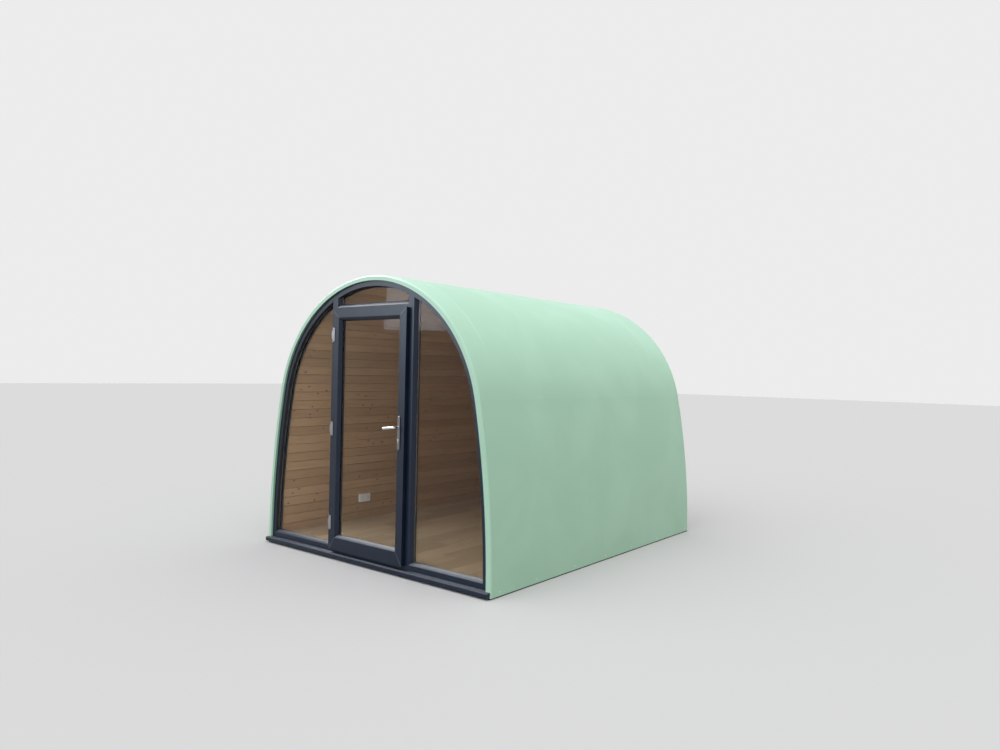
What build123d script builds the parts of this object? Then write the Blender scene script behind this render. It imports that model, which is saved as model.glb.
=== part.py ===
from build123d import *
import math
import os

# Garden office pod: an arched, insulated shell on a flat base, with a glazed front
# whose middle bay holds a door that opens outwards.
# Millimetres. X is right, Y runs into the pod and Z is up. The origin is the middle
# of the base, on the ground, and the front faces -Y.

# Overall form of the arched shell
WIDTH = 2792
HEIGHT = 2500
LENGTH = 3410
SHOULDER_SETBACK = 122
EDGE_RADIUS = 20
CORE_CHAMFER = 9

# Wall build-up, from outside to inside
SKIN = 6
CORE = 70
LINING = 14

# Front and rear rims of the shell
RIM_WIDTH = 45
RIM_PROUD = 20
REAR_RECESS = 12

# Base and floor
BASE_SHEET = 10
BASE_SHEET_INSET = 4
FLOOR_CASSETTE = 50
FLOOR_DECK = 18
FLOOR_BOARDS = 8

# Fixed frame of the glazed front
FRAME_FACE = 43
FRAME_DEPTH = 70
RAIL_HEIGHT = 40
MULLION_WIDTH = 58
DOORWAY_WIDTH = 904
TRANSOM_HEIGHT = 36
FANLIGHT_HEIGHT = 176
STOP_WIDTH = 16
STOP_CLEARANCE = 6

# Glazing, with a wide sloped bead on the straight sides and a slim one on the arch
BEAD_WIDTH = 33
ARCH_BEAD_WIDTH = 7
BEAD_DEPTH = 28
BEAD_EDGE = 2
GLASS_THICKNESS = 24
GLASS_CLEARANCE = 3
GLAZING_LIP = 20
ARCH_LIP = 12
BAYS = ("left", "right", "fanlight")

# Sill in front of the frame
SILL_OVERHANG = 30
SILL_NOSE = 37
SILL_FALL = 8
SILL_END_INSET = 5
SILL_END_CAP = 3
SILL_GROOVES = 3
SILL_GROOVE = 1.5

# Door leaf
DOOR_PROUD = 35
DOOR_DEPTH = 70
DOOR_OVERLAP = 12
DOOR_BOTTOM_OVERLAP = 15
DOOR_GAP = 7
FLANGE_GAP = 8
GASKET_THICKNESS = 3
GASKET_WIDTH = 7
GASKET_INSET = 2
DOOR_STILE = 72
DOOR_TOP_RAIL = 64
DOOR_BOTTOM_RAIL = 105
MITRE_REACH = 2

# Flag hinges at the left edge of the leaf
HINGE_FROM_TOP = 217
HINGE_FROM_BOTTOM = 239
HINGE_LENGTH = 125
HINGE_RADIUS = 8
HINGE_PIN_RADIUS = 4
HINGE_PIN_CLEARANCE = 0.1
HINGE_END_KNUCKLE = 30
HINGE_KNUCKLE_GAP = 0.3
HINGE_EDGE_GAP = 5
HINGE_STANDOFF = 20
HINGE_PLATE = 4
HINGE_PLATE_WIDTH = 30
HINGE_PLATE_CORNER = 11

# Lever handles and lock on the right stile
HANDLE_FROM_BEAD = 15
LEVER_HEIGHT = 1222
LEVER_TO_LOCK = 104
PLATE_LENGTH = 276
PLATE_WIDTH = 30
PLATE_THICKNESS = 9
PLATE_TOP = 90
PLATE_CORNER = 12
PLATE_EDGE = 2
LEVER_REACH = 145
LEVER_STANDOFF = 50
LEVER_DROOP = 6
LEVER_THICKNESS = 18
LEVER_DEPTH = 11
LEVER_RETURN = 22
LEVER_BEND = 16
LEVER_EDGE = 3
BOSS_RADIUS = 9
BOSS_CLEARANCE = 0.3
COLLAR_RADIUS = 12
COLLAR_LENGTH = 5
SPINDLE = 8
SPINDLE_CLEARANCE = 0.35
LOCK_RADIUS = 8.5
LOCK_SLOT_WIDTH = 10
LOCK_SLOT_HEIGHT = 24
LOCK_PROUD = 3

# Double socket on the left wall
SOCKET_LENGTH = 146
SOCKET_HEIGHT = 86
SOCKET_DEPTH = 28
SOCKET_FROM_FRONT = 1120
SOCKET_CENTRE_HEIGHT = 310

# Small gap that keeps a curved face clear of the face beside it
SEAT = 0.3

# Arch geometry: each side is a long flat arc that is upright at the ground, and the
# crown is a shorter arc that meets both sides tangentially.
HALF_WIDTH = WIDTH / 2
CROWN_RADIUS = HALF_WIDTH - SHOULDER_SETBACK
CROWN_CENTRE = HEIGHT - CROWN_RADIUS
SIDE_RADIUS = (HALF_WIDTH**2 + CROWN_CENTRE**2 - CROWN_RADIUS**2) / (2 * SHOULDER_SETBACK)
SIDE_CENTRE = SIDE_RADIUS - HALF_WIDTH
SPRING_ANGLE = math.degrees(math.atan2(CROWN_CENTRE, SIDE_CENTRE))

# Planes along the pod
FRONT = -LENGTH / 2
BACK = LENGTH / 2
FACE = FRONT + RIM_PROUD
FRAME_BACK = FACE + FRAME_DEPTH
REAR_FACE = BACK - REAR_RECESS
REAR_CORE_FRONT = REAR_FACE - SKIN - CORE
REAR_LINING_FRONT = REAR_CORE_FRONT - LINING
GLASS_FRONT = FACE + BEAD_DEPTH
GLASS_BACK = GLASS_FRONT + GLASS_THICKNESS

# Layers of the wall, measured inwards from the outside of the arch
CORE_INNER = SKIN + CORE
WALL = CORE_INNER + LINING
FRAME_INNER = RIM_WIDTH + FRAME_FACE

# Levels above the ground
CASSETTE_TOP = BASE_SHEET + FLOOR_CASSETTE
DECK_TOP = CASSETTE_TOP + FLOOR_DECK
FLOOR_TOP = DECK_TOP + FLOOR_BOARDS
RAIL_TOP = CASSETTE_TOP + RAIL_HEIGHT
TRANSOM_TOP = HEIGHT - FRAME_INNER - FANLIGHT_HEIGHT
DOORWAY_TOP = TRANSOM_TOP - TRANSOM_HEIGHT

# Bays of the front
DOORWAY_EDGE = DOORWAY_WIDTH / 2
MULLION_OUTER = DOORWAY_EDGE + MULLION_WIDTH

# Door leaf
DOOR_FACE = FACE - DOOR_PROUD
DOOR_BACK = DOOR_FACE + DOOR_DEPTH
FLANGE_BACK = FACE - FLANGE_GAP
LEAF_EDGE = DOORWAY_EDGE + DOOR_OVERLAP
LEAF_BOTTOM = RAIL_TOP - DOOR_BOTTOM_OVERLAP
LEAF_TOP = DOORWAY_TOP + DOOR_OVERLAP
DOOR_GLASS_FRONT = DOOR_FACE + BEAD_DEPTH
DOOR_GLASS_BACK = DOOR_GLASS_FRONT + GLASS_THICKNESS
STOP_FRONT = DOOR_BACK + STOP_CLEARANCE

# Hinge axis, hinge heights and handle centre line
HINGE_X = -LEAF_EDGE - HINGE_EDGE_GAP - HINGE_RADIUS
HINGE_Y = FACE - HINGE_STANDOFF
LOW_HINGE = LEAF_BOTTOM + HINGE_FROM_BOTTOM
HIGH_HINGE = LEAF_TOP - HINGE_FROM_TOP
HINGE_HEIGHTS = (LOW_HINGE, (LOW_HINGE + HIGH_HINGE) / 2, HIGH_HINGE)
HANDLE_X = LEAF_EDGE - DOOR_STILE + HANDLE_FROM_BEAD
LOCK_HEIGHT = LEVER_HEIGHT - LEVER_TO_LOCK

# A reach past every surface, for cutting tools
REACH = LENGTH


def upright(y):
    """Plane that stands across the pod at y, with its drawing seen from the front."""
    return Plane(origin=(0, y, 0), x_dir=(1, 0, 0), z_dir=(0, -1, 0))


def slab(face, front, back):
    """Solid with the drawn face as its outline, from front to back along the pod."""
    return extrude(upright(back) * face, back - front)


def block(left, right, front, back, bottom, top):
    """Plain block between its six planes."""
    middle = Pos((left + right) / 2, (front + back) / 2, (bottom + top) / 2)
    return middle * Box(right - left, back - front, top - bottom)


def rectangle(left, right, bottom, top):
    """Rectangle between its four edges."""
    return Pos((left + right) / 2, (bottom + top) / 2) * Rectangle(right - left, top - bottom)


def arch(inset):
    """Outline of the arch, moved inwards by inset, with a straight base on the ground."""
    right_side = CenterArc((-SIDE_CENTRE, 0), SIDE_RADIUS - inset, 0, SPRING_ANGLE)
    crown = CenterArc((0, CROWN_CENTRE), CROWN_RADIUS - inset, SPRING_ANGLE, 180 - 2 * SPRING_ANGLE)
    left_side = CenterArc((SIDE_CENTRE, 0), SIDE_RADIUS - inset, 180 - SPRING_ANGLE, SPRING_ANGLE)
    base = Line(left_side @ 1, right_side @ 0)
    return make_face([right_side.edge(), crown.edge(), left_side.edge(), base.edge()])


def arch_ring(outer, inner, front, back):
    """Arched wall between two insets, from front to back."""
    return slab(arch(outer), front, back) - slab(arch(inner), front - 1, back + 1)


def above(solid, level):
    """The part of a solid above a level."""
    return solid & block(-REACH, REACH, -REACH, REACH, level, REACH)


def between(solid, bottom, top):
    """The part of a solid between two levels."""
    return solid & block(-REACH, REACH, -REACH, REACH, bottom, top)


def end_face(body, end):
    """The face at the front (0) or the rear (-1) of an arched block."""
    return body.faces().sort_by(Axis.Y)[end]


def arched_edges(face):
    """The arched edges of an end face."""
    return face.edges().filter_by(GeomType.CIRCLE)


def shell_inside():
    """Arched block on which the skin is moulded, with its arched edges taken off."""
    body = slab(arch(SKIN), FRONT + SKIN, BACK - SKIN)
    return chamfer([edge for end in (0, -1) for edge in arched_edges(end_face(body, end))], CORE_CHAMFER)


def rounded_ends(body):
    """Arched block with its arched edges rounded, in two flats that touch the edge's radius."""
    turn = math.radians(15)
    along = EDGE_RADIUS * (1 - math.tan(turn))
    flat = EDGE_RADIUS * (math.tan(2 * turn) - math.tan(turn))
    for end in (0, -1):
        face = end_face(body, end)
        body = chamfer(arched_edges(face), along * math.tan(2 * turn), along, reference=face)
        body = chamfer(arched_edges(end_face(body, end)), flat)
    return body


def outer_shell():
    """Moulded skin of the arch, with a rounded rim turned in round the front and the rear."""
    skin = rounded_ends(slab(arch(0), FRONT, BACK)) - shell_inside()
    skin -= slab(arch(RIM_WIDTH), FRONT - 1, BACK + 1)
    front_return = arch_ring(RIM_WIDTH - SKIN, RIM_WIDTH, FRONT + SKIN, FACE)
    rear_return = arch_ring(RIM_WIDTH - SKIN, RIM_WIDTH, REAR_FACE, BACK - SKIN)
    return above(skin + front_return + rear_return, BASE_SHEET)


def wall_core():
    """Insulated core behind the skin, stepped round the front frame and the rear wall."""
    core = shell_inside() - slab(arch(CORE_INNER), FRAME_BACK, REAR_CORE_FRONT)
    core -= slab(arch(RIM_WIDTH - SKIN), FRONT, FACE)
    core -= slab(arch(RIM_WIDTH), FACE, FRAME_BACK)
    core -= slab(arch(RIM_WIDTH), REAR_CORE_FRONT, REAR_FACE)
    core -= slab(arch(RIM_WIDTH - SKIN), REAR_FACE, BACK)
    return above(core, BASE_SHEET)


def wedge(start, end):
    """Sector of the arch between two angles at the crown's centre."""
    corners = [(0, CROWN_CENTRE)]
    for angle in (start, (start + end) / 2, end):
        turn = math.radians(angle)
        corners.append((REACH * math.cos(turn), CROWN_CENTRE + REACH * math.sin(turn)))
    return slab(make_face(Polyline(*corners, close=True).edges()), FRONT, BACK)


def side_region(side):
    """Everything beside and below the point where one side of the arch meets the crown."""
    turn = math.radians(SPRING_ANGLE)
    spring = (side * REACH * math.cos(turn), CROWN_CENTRE + REACH * math.sin(turn))
    corners = [(0, CROWN_CENTRE), spring, (side * REACH, -REACH), (0, -REACH)]
    return slab(make_face(Polyline(*corners, close=True).edges()), FRONT, BACK)


def wall_cores():
    """The core as one panel for each side and four panels over the crown."""
    core = wall_core()
    panels = {"left_wall_core": core & side_region(-1), "right_wall_core": core & side_region(1)}
    names = ("right_shoulder_core", "right_roof_core", "left_roof_core", "left_shoulder_core")
    step = (180 - 2 * SPRING_ANGLE) / len(names)
    for index, name in enumerate(names):
        start = SPRING_ANGLE + index * step
        panels[name] = core & wedge(start, start + step)
    return panels


def wall_linings():
    """Board lining inside the core, as two sides and a crown."""
    lining = arch_ring(CORE_INNER, WALL, FRAME_BACK, REAR_LINING_FRONT)
    lining = above(lining, DECK_TOP)
    return {
        "left_wall_lining": lining & side_region(-1),
        "right_wall_lining": lining & side_region(1),
        "ceiling_lining": lining & wedge(SPRING_ANGLE, 180 - SPRING_ANGLE),
    }


def rear_wall():
    """Flat rear wall: a skin outside, an insulated core and a board lining."""
    skin = slab(arch(RIM_WIDTH), REAR_FACE - SKIN, REAR_FACE)
    core = slab(arch(RIM_WIDTH), REAR_CORE_FRONT, REAR_FACE - SKIN)
    lining = slab(arch(CORE_INNER), REAR_LINING_FRONT, REAR_CORE_FRONT)
    return {
        "rear_wall_skin": above(skin, BASE_SHEET),
        "rear_wall_core": above(core, BASE_SHEET),
        "rear_wall_lining": above(lining, DECK_TOP),
    }


def base_and_floor():
    """Base sheet on the ground, insulated floor cassette, deck and floor boards."""
    sheet = slab(arch(BASE_SHEET_INSET), FRONT + BASE_SHEET_INSET, BACK - BASE_SHEET_INSET)
    cassette = slab(arch(RIM_WIDTH), FACE, FRAME_BACK) + slab(arch(CORE_INNER), FRAME_BACK, REAR_CORE_FRONT)
    deck = slab(arch(CORE_INNER), FRAME_BACK, REAR_CORE_FRONT)
    boards = slab(arch(WALL), FRAME_BACK, REAR_LINING_FRONT)
    return {
        "base_sheet": between(sheet, 0, BASE_SHEET),
        "floor_cassette": between(cassette, BASE_SHEET, CASSETTE_TOP),
        "floor_deck": between(deck, CASSETTE_TOP, DECK_TOP),
        "floor_boards": between(boards, DECK_TOP, FLOOR_TOP),
    }


def bay(name, straight=0, arched=0):
    """Outline of a glazed bay, with its straight and its arched sides moved inwards."""
    side = MULLION_OUTER + straight
    width = DOORWAY_EDGE - straight
    areas = {
        "left": rectangle(-REACH, -side, RAIL_TOP + straight, REACH),
        "right": rectangle(side, REACH, RAIL_TOP + straight, REACH),
        "fanlight": rectangle(-width, width, TRANSOM_TOP + straight, REACH),
    }
    return (arch(FRAME_INNER + arched) & areas[name]).face()


def inner(face, distance):
    """A face whose outline is moved inwards, with sharp corners."""
    return offset(face, amount=-distance, kind=Kind.INTERSECTION).face()


def glazing_bead(outline, mouth, throat, front, back):
    """Ring of bead that slopes from its mouth at the frame's face down to its throat at the glass."""
    return slab(outline, front, back) - loft([upright(front) * mouth, upright(back) * throat], ruled=True)


def glass_unit(face, front, back):
    """Sealed glass unit that fits its pocket with a clearance all round."""
    return slab(inner(face, GLASS_CLEARANCE), front, back)


def front_frame():
    """Fixed frame: the arched slab of profile with its glazing pockets, doorway and lips."""
    body = above(slab(arch(RIM_WIDTH), FACE, FRAME_BACK), CASSETTE_TOP)
    doorway = rectangle(-DOORWAY_EDGE, DOORWAY_EDGE, RAIL_TOP, DOORWAY_TOP).face()
    body -= slab(doorway, FACE - 1, STOP_FRONT)
    body -= slab(inner(doorway, STOP_WIDTH), STOP_FRONT - 1, FRAME_BACK + 1)
    for name in BAYS:
        body -= slab(bay(name), FACE - 1, GLASS_BACK)
        body -= slab(bay(name, GLAZING_LIP, ARCH_LIP), GLASS_BACK - 1, FRAME_BACK + 1)
    return body


def member_outlines():
    """Where each length of the fixed frame lies, seen from the front."""
    lip = GLAZING_LIP
    inside = arch(FRAME_INNER)
    ring = arch(RIM_WIDTH) - arch(FRAME_INNER + ARCH_LIP)
    rail = inside & rectangle(-REACH, REACH, 0, RAIL_TOP + lip)
    right_zone = rectangle(DOORWAY_EDGE - lip, MULLION_OUTER + lip, RAIL_TOP + lip, REACH)
    left_zone = rectangle(-MULLION_OUTER - lip, lip - DOORWAY_EDGE, RAIL_TOP + lip, REACH)
    right_mullion = inside & right_zone
    left_mullion = inside & left_zone
    side_ring = ring - rail - right_mullion - left_mullion
    width = DOORWAY_EDGE - lip
    return {
        "frame_bottom_rail": rail,
        "left_mullion": left_mullion,
        "right_mullion": right_mullion,
        "transom": rectangle(-width, width, DOORWAY_TOP - STOP_WIDTH, TRANSOM_TOP + lip),
        "frame_left_jamb": side_ring & rectangle(-REACH, -MULLION_OUTER, 0, REACH),
        "frame_right_jamb": side_ring & rectangle(MULLION_OUTER, REACH, 0, REACH),
        "frame_head": side_ring & rectangle(-MULLION_OUTER, MULLION_OUTER, 0, REACH),
    }


def frame_members():
    """The fixed frame cut into the lengths of profile that it is made from."""
    body = front_frame()
    return {name: body & slab(outline, FACE, FRAME_BACK) for name, outline in member_outlines().items()}


def fixed_glazing():
    """Sloped bead and sealed glass unit for each fixed bay."""
    pieces = {}
    for name in BAYS:
        mouth = bay(name, BEAD_EDGE, BEAD_EDGE)
        throat = bay(name, BEAD_WIDTH, ARCH_BEAD_WIDTH)
        pieces[f"{name}_bead"] = glazing_bead(bay(name), mouth, throat, FACE, GLASS_FRONT)
        pieces[f"{name}_glass"] = glass_unit(bay(name), GLASS_FRONT, GLASS_BACK)
    return pieces


def sill():
    """Sloping sill in front of the frame, grooved on top, with a cap on each end."""
    nose = FRONT - SILL_OVERHANG
    top = CASSETTE_TOP
    bottom = top - SILL_FALL - SILL_NOSE
    corners = [(nose, bottom), (nose, top - SILL_FALL), (FACE, top), (FACE, bottom)]
    section = make_face(Polyline(*corners, close=True).edges())
    slope = SILL_FALL / (FACE - nose)
    for index in range(1, SILL_GROOVES + 1):
        groove = nose + index * (FACE - nose) / (SILL_GROOVES + 1)
        level = top - SILL_FALL + slope * (groove - nose)
        section -= Pos(groove, level) * Circle(SILL_GROOVE)
    end = HALF_WIDTH - SILL_END_INSET - SILL_END_CAP
    across = Plane(origin=(-end, 0, 0), x_dir=(0, 1, 0), z_dir=(1, 0, 0))
    body = extrude(across * section, 2 * end)
    inside_rim = slab(arch(RIM_WIDTH + SEAT), FRONT, FACE)
    in_front = block(-end, end, nose, FRONT, bottom, top)
    body = body & (inside_rim + in_front)
    cap = block(end, end + SILL_END_CAP, nose, FRONT, bottom, top - SILL_FALL)
    return {"sill": body, "sill_end_caps": Compound([cap, mirror(cap, Plane.YZ)])}


def door_glazed_area():
    """Outline inside the flat faces of the door's stiles and rails."""
    side = LEAF_EDGE - DOOR_STILE
    return rectangle(-side, side, LEAF_BOTTOM + DOOR_BOTTOM_RAIL, LEAF_TOP - DOOR_TOP_RAIL).face()


def lock_outline(clearance):
    """Outline of the lock cylinder: a round barrel over a narrower slot."""
    barrel = Pos(HANDLE_X, LOCK_HEIGHT) * Circle(LOCK_RADIUS + clearance)
    half = LOCK_SLOT_WIDTH / 2 + clearance
    bottom = LOCK_HEIGHT - LOCK_SLOT_HEIGHT - clearance
    return barrel + rectangle(HANDLE_X - half, HANDLE_X + half, bottom, LOCK_HEIGHT)


def spindle_hole(radius):
    """Outline of the round hole for the handle's spindle or boss."""
    return Pos(HANDLE_X, LEVER_HEIGHT) * Circle(radius)


def door_frame():
    """Door leaf without its glass: a flange that laps the frame and a body inside it."""
    flange = rectangle(-LEAF_EDGE, LEAF_EDGE, LEAF_BOTTOM, LEAF_TOP)
    edge = DOORWAY_EDGE - DOOR_GAP
    body = rectangle(-edge, edge, RAIL_TOP + DOOR_GAP, DOORWAY_TOP - DOOR_GAP)
    leaf = slab(flange, DOOR_FACE, FLANGE_BACK) + slab(body, FLANGE_BACK, DOOR_BACK)
    area = door_glazed_area()
    leaf -= slab(area, DOOR_FACE - 1, DOOR_GLASS_BACK)
    leaf -= slab(inner(area, GLAZING_LIP), DOOR_GLASS_BACK - 1, DOOR_BACK + 1)
    leaf -= slab(spindle_hole(SPINDLE / math.sqrt(2) + SPINDLE_CLEARANCE), DOOR_FACE - 1, DOOR_BACK + 1)
    leaf -= slab(lock_outline(SEAT), DOOR_FACE - 1, DOOR_BACK + 1)
    return leaf


def mitre_outlines():
    """Where each stile and rail of the door lies between its mitred corners."""
    outer = {
        "top_left": (-LEAF_EDGE, LEAF_TOP),
        "top_right": (LEAF_EDGE, LEAF_TOP),
        "bottom_left": (-LEAF_EDGE, LEAF_BOTTOM),
        "bottom_right": (LEAF_EDGE, LEAF_BOTTOM),
    }
    deep = {}
    for corner, (x, z) in outer.items():
        rail = -DOOR_TOP_RAIL if corner.startswith("top") else DOOR_BOTTOM_RAIL
        stile = DOOR_STILE if corner.endswith("left") else -DOOR_STILE
        deep[corner] = (x + MITRE_REACH * stile, z + MITRE_REACH * rail)
    sides = {
        "door_left_stile": ("bottom_left", "top_left"),
        "door_top_rail": ("top_left", "top_right"),
        "door_right_stile": ("top_right", "bottom_right"),
        "door_bottom_rail": ("bottom_right", "bottom_left"),
    }
    outlines = {}
    for name, (first, second) in sides.items():
        corners = [outer[first], outer[second], deep[second], deep[first]]
        outlines[name] = make_face(Polyline(*corners, close=True).edges())
    return outlines


def door_leaf():
    """Mitred stiles and rails, the bead, the sealed glass unit and the flange's gasket."""
    leaf = door_frame()
    pieces = {name: leaf & slab(outline, DOOR_FACE, DOOR_BACK) for name, outline in mitre_outlines().items()}
    area = door_glazed_area()
    mouth = inner(area, BEAD_EDGE)
    throat = inner(area, BEAD_WIDTH)
    pieces["door_bead"] = glazing_bead(area, mouth, throat, DOOR_FACE, DOOR_GLASS_FRONT)
    pieces["door_glass"] = glass_unit(area, DOOR_GLASS_FRONT, DOOR_GLASS_BACK)
    lap = rectangle(-LEAF_EDGE, LEAF_EDGE, LEAF_BOTTOM, LEAF_TOP).face()
    ring = inner(lap, GASKET_INSET) - inner(lap, GASKET_INSET + GASKET_WIDTH)
    pieces["door_gasket"] = slab(ring, FLANGE_BACK, FLANGE_BACK + GASKET_THICKNESS)
    return pieces


def hinge_rod(radius, bottom, top):
    """Upright cylinder on the hinge axis."""
    return Pos(HINGE_X, HINGE_Y, (bottom + top) / 2) * Cylinder(radius, top - bottom)


def frame_hinge(height):
    """Fixed half of a hinge: a plate on the mullion, two end knuckles and the pin."""
    bottom = height - HINGE_LENGTH / 2
    top = height + HINGE_LENGTH / 2
    plate = block(HINGE_X - HINGE_PLATE_WIDTH, HINGE_X, FACE - HINGE_PLATE, FACE, bottom, top)
    half = plate + hinge_rod(HINGE_PIN_RADIUS, bottom, top)
    for low in (bottom, top - HINGE_END_KNUCKLE):
        high = low + HINGE_END_KNUCKLE
        web = block(HINGE_X - HINGE_RADIUS, HINGE_X, HINGE_Y, FACE - HINGE_PLATE, low, high)
        half += hinge_rod(HINGE_RADIUS, low, high) + web
    return half


def leaf_hinge(height):
    """Moving half of a hinge: a flag plate on the leaf's face and the middle knuckle."""
    bottom = height - HINGE_LENGTH / 2
    top = height + HINGE_LENGTH / 2
    low = bottom + HINGE_END_KNUCKLE + HINGE_KNUCKLE_GAP
    high = top - HINGE_END_KNUCKLE - HINGE_KNUCKLE_GAP
    outer = DOOR_FACE - HINGE_PLATE
    plate = block(-LEAF_EDGE, -LEAF_EDGE + HINGE_PLATE_WIDTH, outer, DOOR_FACE, bottom, top)
    plate = fillet(plate.edges().filter_by(Axis.Y).sort_by(Axis.X)[-2:], HINGE_PLATE_CORNER)
    web = block(HINGE_X, -LEAF_EDGE, outer, HINGE_Y, low, high)
    bore = hinge_rod(HINGE_PIN_RADIUS + HINGE_PIN_CLEARANCE, low - 1, high + 1)
    return plate + web + hinge_rod(HINGE_RADIUS, low, high) - bore


def hinges():
    """Three flag hinges, with the fixed halves and the moving halves as two sets."""
    return {
        "hinge_frame_halves": Compound([frame_hinge(height) for height in HINGE_HEIGHTS]),
        "hinge_leaf_halves": Compound([leaf_hinge(height) for height in HINGE_HEIGHTS]),
    }


def handle_plate():
    """Long back plate on the outside of the right stile, with rounded ends and bevelled edges."""
    outer = DOOR_FACE - PLATE_THICKNESS
    middle = Pos(HANDLE_X, LEVER_HEIGHT + PLATE_TOP - PLATE_LENGTH / 2)
    plate = slab(middle * RectangleRounded(PLATE_WIDTH, PLATE_LENGTH, PLATE_CORNER), outer, DOOR_FACE)
    plate = chamfer(plate.faces().sort_by(Axis.Y)[0].edges(), PLATE_EDGE)
    holes = spindle_hole(BOSS_RADIUS + BOSS_CLEARANCE) + lock_outline(SEAT)
    return plate - slab(holes, outer - 1, DOOR_FACE + 1)


def bar_section(x, y, heading):
    """Section of the lever's bar, with its edges taken off, square to its heading."""
    section = Plane(origin=(x, y, LEVER_HEIGHT), x_dir=(0, 0, 1), z_dir=heading)
    bar = Rectangle(LEVER_THICKNESS, LEVER_DEPTH)
    return section * chamfer(bar.vertices(), LEVER_EDGE)


def bar_bend(section, x, y):
    """Quarter turn of the lever's bar about an upright line through x, y."""
    return revolve(section, axis=Axis((x, y, 0), (0, 0, -1)), revolution_arc=90)


def lever():
    """Lever outside the door: boss, collar, bent neck and a flat grip that turns back at its end."""
    start = DOOR_FACE - PLATE_THICKNESS - BOSS_CLEARANCE
    grip = start - LEVER_STANDOFF
    end = HANDLE_X - LEVER_REACH
    bend = grip + LEVER_BEND
    neck_foot = bar_section(HANDLE_X, start, (0, -1, 0))
    neck_top = bar_section(HANDLE_X, bend, (0, -1, 0))
    grip_end = bar_section(end + LEVER_BEND, grip, (-1, 0, 0))
    tip = bar_section(end, bend, (0, 1, 0))
    bar = extrude(neck_foot, start - bend)
    bar += bar_bend(neck_top, HANDLE_X - LEVER_BEND, bend)
    bar += extrude(grip_end, LEVER_REACH - 2 * LEVER_BEND, dir=(1, 0, 0))
    bar += bar_bend(grip_end, end + LEVER_BEND, bend)
    bar += extrude(tip, LEVER_RETURN - LEVER_BEND)
    bar += slab(spindle_hole(COLLAR_RADIUS), start - COLLAR_LENGTH, start)
    bar += slab(spindle_hole(BOSS_RADIUS), start, DOOR_FACE - BOSS_CLEARANCE)
    return bar.rotate(Axis((HANDLE_X, 0, LEVER_HEIGHT), (0, -1, 0)), LEVER_DROOP)


def door_furniture():
    """Back plates, levers on a square spindle and the lock cylinder of the right stile."""
    middle = Plane.XZ.offset(-(DOOR_FACE + DOOR_BACK) / 2)
    plate = handle_plate()
    outside = lever()
    half = SPINDLE / 2
    ends = (DOOR_FACE - BOSS_CLEARANCE, DOOR_BACK + BOSS_CLEARANCE)
    spindle = block(HANDLE_X - half, HANDLE_X + half, *ends, LEVER_HEIGHT - half, LEVER_HEIGHT + half)
    reach = PLATE_THICKNESS + LOCK_PROUD
    return {
        "outside_handle_plate": plate,
        "inside_handle_plate": mirror(plate, middle),
        "outside_lever": outside + spindle,
        "inside_lever": mirror(outside, middle),
        "lock_cylinder": slab(lock_outline(0), DOOR_FACE - reach, DOOR_BACK + reach),
    }


def wall_socket():
    """Double socket box on the lining of the left wall, tilted to lie along it."""
    radius = SIDE_RADIUS - WALL
    lean = math.asin(SOCKET_CENTRE_HEIGHT / radius)
    hollow = radius - math.sqrt(radius**2 - (SOCKET_HEIGHT / 2)**2)
    reach = radius - hollow - SEAT - SOCKET_DEPTH / 2
    centre = (SIDE_CENTRE - reach * math.cos(lean), FRONT + SOCKET_FROM_FRONT, reach * math.sin(lean))
    box = Rot(0, math.degrees(lean), 0) * Box(SOCKET_DEPTH, SOCKET_LENGTH, SOCKET_HEIGHT)
    return {"wall_socket": Pos(*centre) * box}


def write_parts(parts):
    """One STEP file for each named piece."""
    os.makedirs("parts", exist_ok=True)
    for name, solid in parts.items():
        export_step(solid, f"parts/{name}.step")


if __name__ == "__main__":
    pieces = {"outer_shell": outer_shell()}
    pieces.update(wall_cores())
    pieces.update(wall_linings())
    pieces.update(rear_wall())
    pieces.update(base_and_floor())
    pieces.update(frame_members())
    pieces.update(fixed_glazing())
    pieces.update(sill())
    pieces.update(door_leaf())
    pieces.update(hinges())
    pieces.update(door_furniture())
    pieces.update(wall_socket())
    write_parts(pieces)
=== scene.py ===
"""Garden office pod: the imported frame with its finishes, boards, glazing and small fittings."""

import logging
import math
from dataclasses import dataclass
from enum import Enum
from typing import Iterable, Optional, Sequence, Union

import bmesh
import bpy
from mathutils import Matrix, Vector


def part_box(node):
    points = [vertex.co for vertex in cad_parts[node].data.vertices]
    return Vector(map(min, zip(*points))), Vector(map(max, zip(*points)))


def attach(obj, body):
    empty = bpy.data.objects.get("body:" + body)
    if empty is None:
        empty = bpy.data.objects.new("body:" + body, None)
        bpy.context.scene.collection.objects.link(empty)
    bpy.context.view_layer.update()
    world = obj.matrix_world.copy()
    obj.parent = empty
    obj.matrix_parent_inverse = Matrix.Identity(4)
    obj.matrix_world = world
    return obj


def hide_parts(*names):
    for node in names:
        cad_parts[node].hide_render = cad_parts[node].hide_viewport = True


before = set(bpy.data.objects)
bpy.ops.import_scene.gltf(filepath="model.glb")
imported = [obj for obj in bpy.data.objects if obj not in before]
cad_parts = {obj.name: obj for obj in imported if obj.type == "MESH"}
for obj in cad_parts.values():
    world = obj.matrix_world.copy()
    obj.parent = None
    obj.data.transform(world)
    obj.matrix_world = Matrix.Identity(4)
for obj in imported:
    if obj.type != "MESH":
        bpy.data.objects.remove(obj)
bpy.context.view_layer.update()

log = logging.getLogger("pod")

# Outline and build-up of the arch, in metres
SHOULDER_SETBACK = 0.122
FRAME_INSET = 0.088
LINING_INSET = 0.090
LINING_THICKNESS = 0.014
BOARD_COVER = 0.088

# Points nearer to each other than this are welded, in metres
WELD = 0.000001

# Edges that meet at more than this angle are shown sharp
SMOOTH_LIMIT = math.radians(35)

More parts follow.
